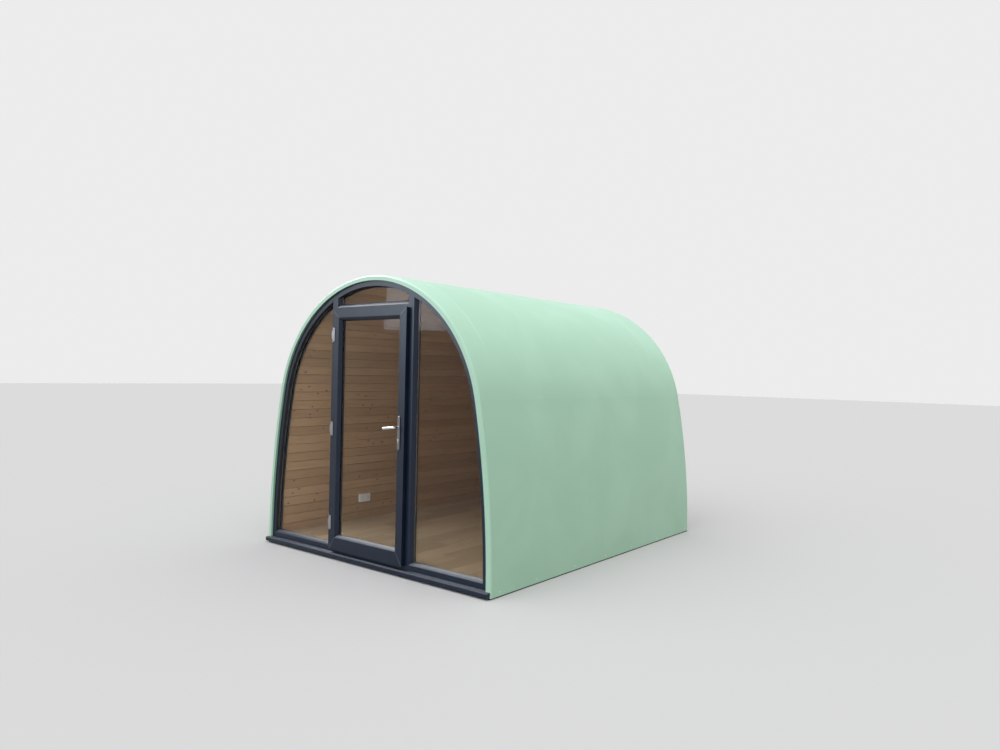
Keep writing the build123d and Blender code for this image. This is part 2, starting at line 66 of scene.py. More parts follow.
# Colours, points, places on a section, pairs of limits, and what a node gives and takes
Colour = tuple[float, float, float]
Point = tuple[float, float, float]
Place = tuple[float, float]
Span = tuple[float, float]
Output = bpy.types.NodeSocket
Feed = Union[Output, Colour, float]


class Slot(Enum):
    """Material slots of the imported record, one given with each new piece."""

    PINE = "lining_pine"
    FLOOR = "floor_wood"
    FRAME = "frame_grey"
    GLASS = "glass"
    GASKET = "gasket"
    HINGE = "hinge_silver"
    HANDLE = "handle_steel"
    SOCKET = "socket_white"


class Grain(Enum):
    """The way that boards run, with how finely their grain is drawn along X, Y and Z."""

    ALONG_POD = (26.0, 1.3, 26.0)
    ACROSS_POD = (1.3, 26.0, 26.0)


class BoardRun(Enum):
    """Runs of boards, each with the number that its tones start from."""

    RIGHT_WALL = 1
    LEFT_WALL = 2
    CEILING = 3
    REAR_WALL = 4
    FLOOR = 5


class BayForm(Enum):
    """Shapes of the glazed bays."""

    DOOR = "rectangle"
    SIDE = "side bay under the arch"
    CROWN = "fanlight under the crown"


class NodeTree:
    """Nodes of a material or of the world, with short calls that add nodes and join them."""

    def __init__(self, holder: Union[bpy.types.Material, bpy.types.World], coordinates: str) -> None:
        """Start an empty node tree.

        Args:
            holder: Material or world that the nodes belong to.
            coordinates: Name of the coordinates that its patterns follow.
        """
        holder.use_nodes = True
        self.nodes = holder.node_tree.nodes
        self.links = holder.node_tree.links
        self.nodes.clear()
        self.place = self.nodes.new("ShaderNodeTexCoord").outputs[coordinates]

    def feed(self, socket: Output, value: Feed) -> None:
        """Set a socket, or join another node's output to it.

        Args:
            socket: Socket that takes the value.
            value: Plain value, or an output of another node.
        """
        if isinstance(value, bpy.types.NodeSocket):
            self.links.new(value, socket)
        elif socket.type == "RGBA" and len(value) == 3:
            socket.default_value = (*value, 1.0)
        else:
            socket.default_value = value

    def stretched(self, scale: Sequence[float], shift: Optional[Output] = None) -> Output:
        """Object coordinates, scaled along each axis.

        Args:
            scale: Scale along X, Y and Z.
            shift: Output that is added on each axis, or None.

        Returns:
            The vector's output.
        """
        mapping = self.nodes.new("ShaderNodeMapping")
        mapping.inputs["Scale"].default_value = scale
        self.links.new(self.place, mapping.inputs["Vector"])
        if shift is not None:
            self.links.new(shift, mapping.inputs["Location"])
        return mapping.outputs["Vector"]

    def noise(self, vector: Output, scale: float, detail: float = 2.0, distortion: float = 0.0) -> Output:
        """Soft noise.

        Args:
            vector: Coordinates' output.
            scale: How many patches there are to a unit.
            detail: Number of finer layers.
            distortion: How much the pattern is bent.

        Returns:
            The noise's output, about 0 to 1.
        """
        node = self.nodes.new("ShaderNodeTexNoise")
        self.feed(node.inputs["Vector"], vector)
        node.inputs["Scale"].default_value = scale
        node.inputs["Detail"].default_value = detail
        node.inputs["Distortion"].default_value = distortion
        return node.outputs[0]

    def cells(self, vector: Output, scale: float) -> tuple[Output, Output]:
        """Cells round scattered points.

        Args:
            vector: Coordinates' output.
            scale: How many cells there are to a unit.

        Returns:
            Outputs of the distance to the nearest point, and of that point's random value.
        """
        node = self.nodes.new("ShaderNodeTexVoronoi")
        self.feed(node.inputs["Vector"], vector)
        node.inputs["Scale"].default_value = scale
        split = self.nodes.new("ShaderNodeSeparateColor")
        self.links.new(node.outputs["Color"], split.inputs["Color"])
        return node.outputs["Distance"], split.outputs["Red"]

    def attribute(self, name: str) -> Output:
        """The value that a mesh keeps for each board under a name.

        Args:
            name: Name of the mesh's attribute.

        Returns:
            The value's output.
        """
        node = self.nodes.new("ShaderNodeAttribute")
        node.attribute_name = name
        return node.outputs["Fac"]

    def axis(self, name: str) -> Output:
        """One of the tree's coordinates by itself.

        Args:
            name: X, Y or Z.

        Returns:
            The coordinate's output.
        """
        node = self.nodes.new("ShaderNodeSeparateXYZ")
        self.links.new(self.place, node.inputs["Vector"])
        return node.outputs[name]

    def reckon(self, operation: str, first: Feed, second: Feed = 0.0) -> Output:
        """Work out a value with a Math node.

        Args:
            operation: Name of the node's operation.
            first: First value or output.
            second: Second value or output.

        Returns:
            The result's output.
        """
        node = self.nodes.new("ShaderNodeMath")
        node.operation = operation
        self.feed(node.inputs[0], first)
        self.feed(node.inputs[1], second)
        return node.outputs["Value"]

    def fade(self, value: Output, start: float, end: float, low: float = 0.0, high: float = 1.0) -> Output:
        """A value led smoothly from one level to another.

        Args:
            value: Output that is read.
            start: Reading that gives the low level.
            end: Reading that gives the high level.
            low: Level at the start.
            high: Level at the end.

        Returns:
            The level's output.
        """
        return self.ranged("SMOOTHSTEP", value, (start, end, low, high))

    def spread(self, value: Output, low: float, high: float, start: float = 0.0) -> Output:
        """A value led evenly to a range.

        Args:
            value: Output that is read.
            low: Result at the start.
            high: Result at 1.
            start: Reading that gives the low result.

        Returns:
            The result's output.
        """
        return self.ranged("LINEAR", value, (start, 1.0, low, high))

    def ranged(self, way: str, value: Output, limits: Sequence[float]) -> Output:
        """A value led from one range to another, and held inside it.

        Args:
            way: Name of the interpolation.
            value: Output that is read.
            limits: Lowest and highest reading, and the results that they give.

        Returns:
            The result's output.
        """
        node = self.nodes.new("ShaderNodeMapRange")
        node.interpolation_type = way
        self.feed(node.inputs["Value"], value)
        for name, limit in zip(("From Min", "From Max", "To Min", "To Max"), limits):
            self.feed(node.inputs[name], limit)
        return node.outputs["Result"]

    def blend(self, share: Output, first: Feed, second: Feed) -> Output:
        """Two colours mixed.

        Args:
            share: Share of the second colour.
            first: First colour or output.
            second: Second colour or output.

        Returns:
            The mixed colour's output.
        """
        node = self.nodes.new("ShaderNodeMix")
        node.data_type = "RGBA"
        self.feed(node.inputs["Factor"], share)
        self.feed(next(i for i in node.inputs if i.identifier == "A_Color"), first)
        self.feed(next(i for i in node.inputs if i.identifier == "B_Color"), second)
        return next(o for o in node.outputs if o.identifier == "Result_Color")

    def bump(self, height: Output, distance: float, under: Optional[Output] = None) -> Output:
        """Small relief.

        Args:
            height: Output of the height, from 0 to 1.
            distance: Height of the relief in metres.
            under: Output of a coarser relief that this one lies on, or None.

        Returns:
            The normal's output.
        """
        node = self.nodes.new("ShaderNodeBump")
        node.inputs["Distance"].default_value = distance
        self.links.new(height, node.inputs["Height"])
        if under is not None:
            self.links.new(under, node.inputs["Normal"])
        return node.outputs["Normal"]


class MaterialTree(NodeTree):
    """Nodes of one new material, whose patterns follow the piece's own coordinates."""

    def __init__(self, name: str) -> None:
        """Start an empty material.

        Args:
            name: Name of the material.
        """
        self.material = bpy.data.materials.new(name)
        super().__init__(self.material, "Object")

    def surface(self, shader: str = "ShaderNodeBsdfPrincipled", **settings: Feed) -> bpy.types.Node:
        """Add a shader and join it to the material's output.

        Args:
            shader: Kind of shader node.
            settings: Values by socket name, with _ for a space.

        Returns:
            The shader node.
        """
        node = self.nodes.new(shader)
        for name, value in settings.items():
            self.feed(node.inputs[name.replace("_", " ")], value)
        output = self.nodes.new("ShaderNodeOutputMaterial")
        self.links.new(node.outputs[0], output.inputs["Surface"])
        return node


@dataclass(frozen=True)
class ShellGelCoat:
    """Satin gel-coat in pale sage, faintly blotched and wavy, with two moulded seams that are low ridges
    painted lighter over the crown as a highlight.
    """

    name: str = "shell_gel_coat"
    colour: Colour = (0.405, 0.612, 0.425)
    pale: Colour = (0.435, 0.648, 0.460)
    # lighter seam colour: a painted highlight along the seams' ridges
    seam_highlight_colour: Colour = (0.56, 0.76, 0.60)
    seam_places: Span = (-1.465, 1.335)
    seam_width: float = 0.011
    seam_highlight_share: float = 0.6
    seam_height: float = 0.0015
    seam_fade: Span = (1.7, 2.15)
    wave_height: float = 0.004
    grain_height: float = 0.00012
    roughness: Span = (0.38, 0.50)
    mirror_level: float = 0.4

    def build(self) -> bpy.types.Material:
        """Make the material."""
        tree = MaterialTree(self.name)
        patches = tree.noise(tree.place, scale=1.6, detail=3.0, distortion=0.4)
        tone = tree.blend(tree.fade(patches, start=0.35, end=0.7), self.colour, self.pale)
        seam = self.seams(tree)
        # painted highlight: the seams are lightened over the crown only, where they catch the light
        colour = tree.blend(tree.reckon("MULTIPLY", seam, self.seam_highlight_share), tone, self.seam_highlight_colour)
        waves = tree.bump(tree.noise(tree.place, scale=2.2, detail=1.0), self.wave_height)
        ridge = tree.bump(seam, self.seam_height, waves)
        skin = tree.bump(tree.noise(tree.place, scale=420.0), self.grain_height, ridge)
        gloss = tree.spread(tree.noise(tree.place, scale=5.0, detail=3.0), *self.roughness)
        tree.surface(
            Base_Color=colour, Roughness=gloss, Normal=skin, Specular_IOR_Level=self.mirror_level
        )
        return tree.material

    def seams(self, tree: NodeTree) -> Output:
        """Where the moulded seams run over the crown, to raise them there and paint them lighter as a
        highlight.

        Args:
            tree: Node tree of the material.

        Returns:
            Output that is 1 on a seam and 0 elsewhere.
        """
        along = tree.axis("Y")
        nearest = None
        for place in self.seam_places:
            away = tree.reckon("ABSOLUTE", tree.reckon("SUBTRACT", along, place))
            nearest = away if nearest is None else tree.reckon("MINIMUM", nearest, away)
        line = tree.fade(nearest, self.seam_width, 0.0)
        return tree.reckon("MULTIPLY", line, tree.fade(tree.axis("Z"), *self.seam_fade))


@dataclass(frozen=True)
class PowderCoat:
    """Satin anthracite powder coat on the frame profiles, beads, door and sill."""

    name: str = "frame_powder_coat"
    colour: Colour = (0.006, 0.012, 0.025)
    pale: Colour = (0.009, 0.016, 0.031)
    grain_height: float = 0.000008
    roughness: Span = (0.31, 0.38)
    mirror_level: float = 0.28

    def build(self) -> bpy.types.Material:
        """Make the material."""
        tree = MaterialTree(self.name)
        cloud = tree.noise(tree.place, scale=7.0, detail=3.0)
        colour = tree.blend(tree.fade(cloud, start=0.3, end=0.75), self.colour, self.pale)
        normal = tree.bump(tree.noise(tree.place, scale=450.0), self.grain_height)
        gloss = tree.spread(tree.noise(tree.place, scale=12.0, detail=3.0), *self.roughness)
        tree.surface(
            Base_Color=colour, Roughness=gloss, Normal=normal, Specular_IOR_Level=self.mirror_level
        )
        return tree.material


@dataclass(frozen=True)
class BoardWood:
    """Wood in boards, each with its own tone, grain and knots."""

    name: str
    grain: Grain
    pale: Colour
    dark: Colour
    ring: Colour
    knot: Colour
    knot_share: float
    roughness: Span
    relief: float = 0.0003
    ring_repeats: float = 7.0
    board_steps: Point = (40.0, 57.0, 74.0)
    knot_pitch: Span = (9.0, 14.0)
    knot_core: Span = (0.14, 0.07)
    knot_reach: float = 0.45
    knot_bend: float = 1.1

    def build(self) -> bpy.types.Material:
        """Make the material."""
        tree = MaterialTree(self.name)
        board = tree.attribute("board")
        shift = self.shift(tree, board)
        knots, swirl = self.knots(tree, shift)
        lines = self.stretched_grain(tree, shift, swirl)
        rings = tree.noise(lines, scale=1.0, detail=3.0, distortion=0.5)
        bands = tree.reckon("PINGPONG", tree.reckon("MULTIPLY", rings, self.ring_repeats), 1.0)
        streaks = tree.noise(lines, scale=5.0, detail=5.0)
        tone = tree.blend(tree.fade(board, start=0.0, end=1.0), self.pale, self.dark)
        tone = tree.blend(tree.fade(bands, start=0.55, end=1.0, high=0.3), tone, self.ring)
        tone = tree.blend(tree.fade(streaks, start=0.5, end=0.85, high=0.35), tone, self.ring)
        colour = tree.blend(knots, tone, self.knot)
        gloss = tree.spread(streaks, *self.roughness)
        normal = tree.bump(streaks, self.relief)
        tree.surface(Base_Color=colour, Roughness=gloss, Normal=normal)
        return tree.material

    def shift(self, tree: NodeTree, board: Output) -> Output:
        """Place of each board in the pattern, so that no grain runs on into the next board.

        Args:
            tree: Node tree of the material.
            board: Output of the board's value.

        Returns:
            The shift's vector output.
        """
        node = tree.nodes.new("ShaderNodeCombineXYZ")
        for name, step in zip("XYZ", self.board_steps):
            tree.feed(node.inputs[name], tree.reckon("MULTIPLY", board, step))
        return node.outputs["Vector"]

    def knots(self, tree: NodeTree, shift: Output) -> tuple[Output, Output]:
        """Scattered knots and the swirl of the grain round them.

        Args:
            tree: Node tree of the material.
            shift: Output of the board's place in the pattern.

        Returns:
            Outputs of the knots and of the swirl, each from 0 to 1.
        """
        along, across = self.knot_pitch
        pitch = [along if value < across else across for value in self.grain.value]
        distance, chance = tree.cells(tree.stretched(pitch, shift), scale=1.0)
        chosen = tree.reckon("LESS_THAN", chance, self.knot_share)
        core = tree.reckon("MULTIPLY", tree.fade(distance, *self.knot_core), chosen)
        swirl = tree.reckon("MULTIPLY", tree.fade(distance, self.knot_reach, 0.0), chosen)
        return core, swirl

    def stretched_grain(self, tree: NodeTree, shift: Output, swirl: Output) -> Output:
        """Coordinates drawn out along the board and bent round its knots.

        Args:
            tree: Node tree of the material.
            shift: Output of the board's place in the pattern.
            swirl: Output of the bend round the knots.

        Returns:
            The vector's output.
        """
        node = tree.nodes.new("ShaderNodeVectorMath")
        node.operation = "ADD"
        tree.feed(node.inputs[0], tree.stretched(self.grain.value, shift))
        tree.feed(node.inputs[1], tree.reckon("MULTIPLY", swirl, self.knot_bend))
        return node.outputs["Vector"]


@dataclass(frozen=True)
class PlainCoat:
    """Even finish with a slight mottle: rubber, membrane, board cores and moulded plastic."""

    name: str
    colour: Colour
    mottle: Colour
    scale: float
    roughness: Span
    relief: float = 0.0001
    relief_fineness: float = 6.0
    metallic: float = 0.0

    def build(self) -> bpy.types.Material:
        """Make the material."""
        tree = MaterialTree(self.name)
        cloud = tree.noise(tree.place, self.scale, detail=4.0)
        colour = tree.blend(tree.fade(cloud, start=0.3, end=0.75), self.colour, self.mottle)
        gloss = tree.spread(cloud, *self.roughness)
        pores = tree.noise(tree.place, self.scale * self.relief_fineness, detail=3.0)
        normal = tree.bump(pores, self.relief)
        tree.surface(Base_Color=colour, Roughness=gloss, Normal=normal, Metallic=self.metallic)
        return tree.material


@dataclass(frozen=True)
class DrawnMetal:
    """Bright metal with fine lines along its length."""

    name: str
    colour: Colour
    roughness: Span
    lines: Point = (600.0, 600.0, 12.0)
    relief: float = 0.00001

    def build(self) -> bpy.types.Material:
        """Make the material."""
        tree = MaterialTree(self.name)
        lines = tree.noise(tree.stretched(self.lines), scale=1.0, detail=3.0)
        gloss = tree.spread(lines, *self.roughness)
        tree.surface(
            Base_Color=self.colour,
            Metallic=1.0,
            Roughness=gloss,
            Normal=tree.bump(lines, self.relief),
        )
        return tree.material


@dataclass(frozen=True)
class ClearGlass:
    """Clear float glass that lets the light through to the room."""

    name: str = "clear_glass"
    tint: Colour = (0.955, 0.96, 0.945)
    index: float = 1.16

    def build(self) -> bpy.types.Material:
        """Make the material."""
        tree = MaterialTree(self.name)
        mix = tree.surface("ShaderNodeMixShader")
        glass = tree.nodes.new("ShaderNodeBsdfPrincipled")
        glass.inputs["Base Color"].default_value = (*self.tint, 1.0)
        glass.inputs["Roughness"].default_value = 0.0
        glass.inputs["IOR"].default_value = self.index
        glass.inputs["Transmission Weight"].default_value = 1.0
        clear = tree.nodes.new("ShaderNodeBsdfTransparent")
        clear.inputs["Color"].default_value = (*self.tint, 1.0)
        rays = tree.nodes.new("ShaderNodeLightPath")
        tree.links.new(rays.outputs["Is Shadow Ray"], mix.inputs["Fac"])
        tree.links.new(glass.outputs[0], mix.inputs[1])
        tree.links.new(clear.outputs[0], mix.inputs[2])
        return tree.material


class Finishes:
    """Every finish of the pod, made once and shared."""

    def __init__(self) -> None:
        """Make the materials."""
        self.shell = ShellGelCoat().build()
        self.frame = PowderCoat().build()
        self.weld = PlainCoat(
            name="mitre_weld",
            colour=(0.17, 0.19, 0.23),
            mottle=(0.13, 0.15, 0.18),
            scale=90.0,
            roughness=(0.35, 0.5),
        ).build()
        self.glass = ClearGlass().build()
        self.wall_boards = self.pine("pine_boards_along", Grain.ALONG_POD)
        self.rear_boards = self.pine("pine_boards_across", Grain.ACROSS_POD)
        self.floor = BoardWood(
            name="floor_planks",
            grain=Grain.ALONG_POD,
            pale=(0.54, 0.395, 0.255),
            dark=(0.38, 0.265, 0.16),
            ring=(0.25, 0.16, 0.09),
            knot=(0.17, 0.105, 0.055),
            knot_share=0.12,
            roughness=(0.34, 0.46),
        ).build()
        # black rubber for the gaskets, also used for the sheet of painted shade on the arched beads
        self.rubber_and_shade = PlainCoat(
            name="black_rubber_and_shade",
            colour=(0.012, 0.012, 0.013),
            mottle=(0.02, 0.02, 0.021),
            scale=60.0,
            roughness=(0.6, 0.75),
        ).build()
        self.membrane = PlainCoat(
            name="base_membrane",
            colour=(0.012, 0.012, 0.012),
            mottle=(0.03, 0.028, 0.026),
            scale=18.0,
            roughness=(0.6, 0.8),
        ).build()
        self.core = PlainCoat(
            name="insulated_core",
            colour=(0.52, 0.40, 0.24),
            mottle=(0.44, 0.33, 0.19),
            scale=9.0,
            roughness=(0.7, 0.85),
        ).build()
        self.plywood = PlainCoat(
            name="deck_plywood",
            colour=(0.50, 0.34, 0.18),
            mottle=(0.40, 0.26, 0.13),
            scale=14.0,
            roughness=(0.6, 0.8),
        ).build()
        self.plastic = PlainCoat(
            name="white_plastic",
            colour=(0.80, 0.80, 0.78),
            mottle=(0.74, 0.74, 0.72),
            scale=25.0,
            roughness=(0.25, 0.34),
        ).build()
        self.cap = PlainCoat(
            name="screw_cap_plastic",
            colour=(0.80, 0.81, 0.78),
            mottle=(0.66, 0.68, 0.64),
            scale=80.0,
            roughness=(0.35, 0.5),
        ).build()
        # near-black painted shade, for the socket's pin holes and the lock's keyways
        self.shadow = PlainCoat(
            name="socket_pin_hole_shade",
            colour=(0.010, 0.010, 0.010),
            mottle=(0.014, 0.014, 0.014),
            scale=60.0,
            roughness=(0.8, 0.9),
        ).build()
        self.silver = DrawnMetal("hinge_silver", (0.33, 0.33, 0.34), (0.14, 0.22)).build()
        self.steel = DrawnMetal("handle_steel", (0.62, 0.62, 0.61), (0.10, 0.17)).build()
        self.plate = DrawnMetal("plate_steel", (0.19, 0.19, 0.195), (0.18, 0.26)).build()
        self.spacer = DrawnMetal("spacer_bar", (0.55, 0.56, 0.57), (0.35, 0.5)).build()

    @staticmethod
    def pine(name: str, grain: Grain) -> bpy.types.Material:
        """Varnished pine matchboard.

        Args:
            name: Name of the material.
            grain: The way that the boards run.

        Returns:
            The material.
        """
        return BoardWood(
            name=name,
            grain=grain,
            pale=(0.49, 0.292, 0.146),
            dark=(0.395, 0.222, 0.102),
            ring=(0.285, 0.143, 0.058),
            knot=(0.10, 0.04, 0.018),
            knot_share=0.75,
            roughness=(0.40, 0.55),
        ).build()


def dress(finish: bpy.types.Material, *nodes: str) -> None:
    """Give CAD nodes a finish.

    Args:
        finish: Material that they get.
        nodes: Names of the CAD nodes.
    """
    for name in nodes:
        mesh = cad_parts[name].data
        for index in range(max(len(mesh.materials), 1)):
            if index < len(mesh.materials):
                mesh.materials[index] = finish
            else:
                mesh.materials.append(finish)


def finished(
    name: str, work: bmesh.types.BMesh, finish: bpy.types.Material, body: str, slot: Slot, *replaced: str
) -> bpy.types.Object:
    """Turn finished work into a piece that rides on a body.

    Args:
        name: Name of the piece.
        work: Mesh in the pod's own place, which is freed.
        finish: Material of the piece.
        body: Name of the CAD body that it rides on.
        slot: Material slot of the record; not used.
        replaced: Names of the CAD nodes that it stands for.

    Returns:
        The piece.
    """
    bmesh.ops.recalc_face_normals(work, faces=work.faces)
    for face in work.faces:
        face.smooth = True
    mesh = bpy.data.meshes.new(name)
    work.to_mesh(mesh)
    work.free()
    mesh.set_sharp_from_angle(angle=SMOOTH_LIMIT)
    mesh.materials.append(finish)
    piece = bpy.data.objects.new(name, mesh)
    bpy.context.scene.collection.objects.link(piece)
    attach(piece, body)
    if replaced:
        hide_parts(*replaced)
    log.info("%s: %d faces on %s", name, len(mesh.polygons), body)
    return piece


def soften(
    work: bmesh.types.BMesh, edges: Iterable[bmesh.types.BMEdge], width: float, segments: int = 1
) -> None:
    """Bevel some edges.

    Args:
        work: Mesh that is worked on.
        edges: Edges that are bevelled.
        width: Width of the bevel in metres.
        segments: Number of flats across it.
    """
    bmesh.ops.bevel(
        work,
        geom=list(edges),
        offset=width,
        offset_type="OFFSET",
        affect="EDGES",
        segments=segments,
        profile=0.5,
        material=-1,
    )


def cuboid(
    work: bmesh.types.BMesh, size: Sequence[float], place: Matrix, bevel: float = 0.0, segments: int = 1
) -> list[bmesh.types.BMVert]:
    """Add a block, bevelled all round if asked.

    Args:
        work: Mesh that it is added to.
        size: Its size along X, Y and Z before it is placed.
        place: Where it goes.
        bevel: Width of the bevel on every edge.
        segments: Number of flats across the bevel.

    Returns:
        The block's corners, before any bevel.
    """
    scale = Matrix.Diagonal((*size, 1.0))
    made = bmesh.ops.create_cube(work, size=1.0, matrix=place @ scale)
    if bevel:
        edges = {edge for vert in made["verts"] for edge in vert.link_edges}
        soften(work, edges, bevel, segments)
    return made["verts"]


def disc(
    work: bmesh.types.BMesh, radius: float, depth: float, place: Matrix, bevel: float = 0.0, sides: int = 24
) -> None:
    """Add a round disc, whose outer edge at +Z is bevelled if asked.

    Args:
        work: Mesh that it is added to.
        radius: Radius of the disc.
        depth: Its thickness along Z before it is placed.
        place: Where it goes.
        bevel: Width of the bevel.
        sides: Number of sides.
    """
    made = bmesh.ops.create_cone(
        work, cap_ends=True, cap_tris=False, segments=sides, radius1=radius, radius2=radius, depth=depth
    )
    if bevel:
        top = [vert for vert in made["verts"] if vert.co.z > 0]
        rim = {edge for vert in top for edge in vert.link_edges if edge.other_vert(vert) in top}
        before = set(work.verts) - set(made["verts"])
        soften(work, rim, bevel, 2)
        made["verts"] = [vert for vert in work.verts if vert not in before]
    bmesh.ops.transform(work, matrix=place, verts=made["verts"])


def skinned(rails: Sequence[Sequence[Vector]], closed: bool) -> bmesh.types.BMesh:
    """Skin a run of rails, each bridged to the next and the last to the first.

    Args:
        rails: Points of each rail, as many in every one.
        closed: Whether each rail runs back to its own start; otherwise both ends are capped.

    Returns:
        The skin's mesh.
    """
    work = bmesh.new()
    for pair in zip(rails, [*rails[1:], rails[0]]):
        edges = []
        for rail in pair:
            row = [work.verts.new(point) for point in rail]
            following = row[1:] + row[:1] if closed else row[1:]
            edges += [work.edges.new(ends) for ends in zip(row, following)]
        bmesh.ops.bridge_loops(work, edges=edges)
    bmesh.ops.remove_doubles(work, verts=work.verts, dist=WELD)
    if not closed:
        ends = [edge for edge in work.edges if edge.is_boundary]
        bmesh.ops.holes_fill(work, edges=ends, sides=0)
    return work


@dataclass(frozen=True)
class ArchForm:
    """The arch of the shell: two long side arcs that stand upright at the ground, and a crown arc."""

    half_width: float
    height: float
    shoulder_setback: float = SHOULDER_SETBACK

    @classmethod
    def of_shell(cls) -> "ArchForm":
        """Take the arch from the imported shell."""
        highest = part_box("outer_shell")[1]
        return cls(half_width=highest.x, height=highest.z)

    @property
    def crown_radius(self) -> float:
        """Radius of the crown arc."""
        return self.half_width - self.shoulder_setback

    @property
    def crown_centre(self) -> float:
        """Height of the crown arc's centre."""
        return self.height - self.crown_radius

    @property
    def side_radius(self) -> float:
        """Radius of the side arcs."""
        spread = self.half_width**2 + self.crown_centre**2 - self.crown_radius**2
        return spread / (2 * self.shoulder_setback)

    @property
    def side_centre(self) -> float:
        """Distance of a side arc's centre beyond the pod's middle."""
        return self.side_radius - self.half_width

    @property
    def spring(self) -> float:
        """Angle at which a side arc meets the crown arc."""
        return math.atan2(self.crown_centre, self.side_centre)

    def half_width_at(self, level: float, inset: float) -> float:
        """Half of the arch's width at a level.

        Args:
            level: Height above the ground.
            inset: Distance inside the outside of the arch.

        Returns:
            The distance from the middle.
        """
        if level < self.crown_centre + (self.crown_radius - inset) * math.sin(self.spring):
            return math.sqrt((self.side_radius - inset) ** 2 - level**2) - self.side_centre
        rise = level - self.crown_centre
        return math.sqrt(max((self.crown_radius - inset) ** 2 - rise**2, 0.0))

    def lean_at(self, level: float, inset: float) -> float:
        """Angle by which the right side of the arch leans inwards at a level.

        Args:
            level: Height above the ground.
            inset: Distance inside the outside of the arch.

        Returns:
            The angle in radians, 0 for upright.
        """
        if level < self.crown_centre + (self.crown_radius - inset) * math.sin(self.spring):
            return math.asin(level / (self.side_radius - inset))
        rise = (level - self.crown_centre) / (self.crown_radius - inset)
        return math.asin(min(rise, 1.0))


class Outline:
    """Closed outline that is drawn across the pod with straight runs and arcs."""

    def __init__(self, y: float) -> None:
        """Start an outline.

        Args:
            y: Where it stands along the pod.
        """
        self.work = bmesh.new()
        self.y = y

    def to(self, x: float, z: float) -> "Outline":
        """Run straight to a point and return the outline."""
        self.work.verts.new((x, self.y, z))
        return self

    def arc(self, centre_x: float, centre_z: float, turn: float, steps: int) -> "Outline":
        """Run on along an arc.

        Args:
            centre_x: Place of the arc's centre across the pod.
            centre_z: Height of the arc's centre.
            turn: Angle of the arc, counter-clockwise seen from the front.
            steps: Number of short runs in it.

        Returns:
            The outline.
        """
        self.work.verts.ensure_lookup_table()
        bmesh.ops.spin(
            self.work,
            geom=[self.work.verts[-1]],
            cent=(centre_x, self.y, centre_z),
            axis=(0.0, -1.0, 0.0),
            dvec=(0.0, 0.0, 0.0),
            angle=turn,
            space=Matrix.Identity(4),
            steps=steps,
            use_merge=False,
            use_normal_flip=False,
            use_duplicate=False,
        )
        return self

    def points(self) -> list[Vector]:
        """Take the outline's points and end it."""
        places = [point.co.copy() for point in self.work.verts]
        self.work.free()
        return places

    def mirrored(self) -> "Outline":
        """Turn the outline over to the other side of the pod."""
        flip = Matrix.Scale(-1.0, 4, (1.0, 0.0, 0.0))
        bmesh.ops.transform(self.work, matrix=flip, verts=self.work.verts)
        return self

    def sheet(self, depth: float, ring: float = 0.0) -> bmesh.types.BMesh:
        """Close the outline and give it its depth.

        Args:
            depth: Depth into the pod.
            ring: Width of a ring inside the outline, or 0 for a full sheet.

        Returns:
            The solid's mesh.
        """
        face = self.work.faces.new(self.work.verts[:])
        if ring:
            bmesh.ops.inset_region(
                self.work, faces=[face], thickness=ring, use_boundary=True, use_even_offset=True
            )
            bmesh.ops.delete(self.work, geom=[face], context="FACES")
        made = bmesh.ops.extrude_face_region(self.work, geom=self.work.faces[:])
        moved = [item for item in made["geom"] if isinstance(item, bmesh.types.BMVert)]
        bmesh.ops.translate(self.work, verts=moved, vec=(0.0, depth, 0.0))
        return self.work


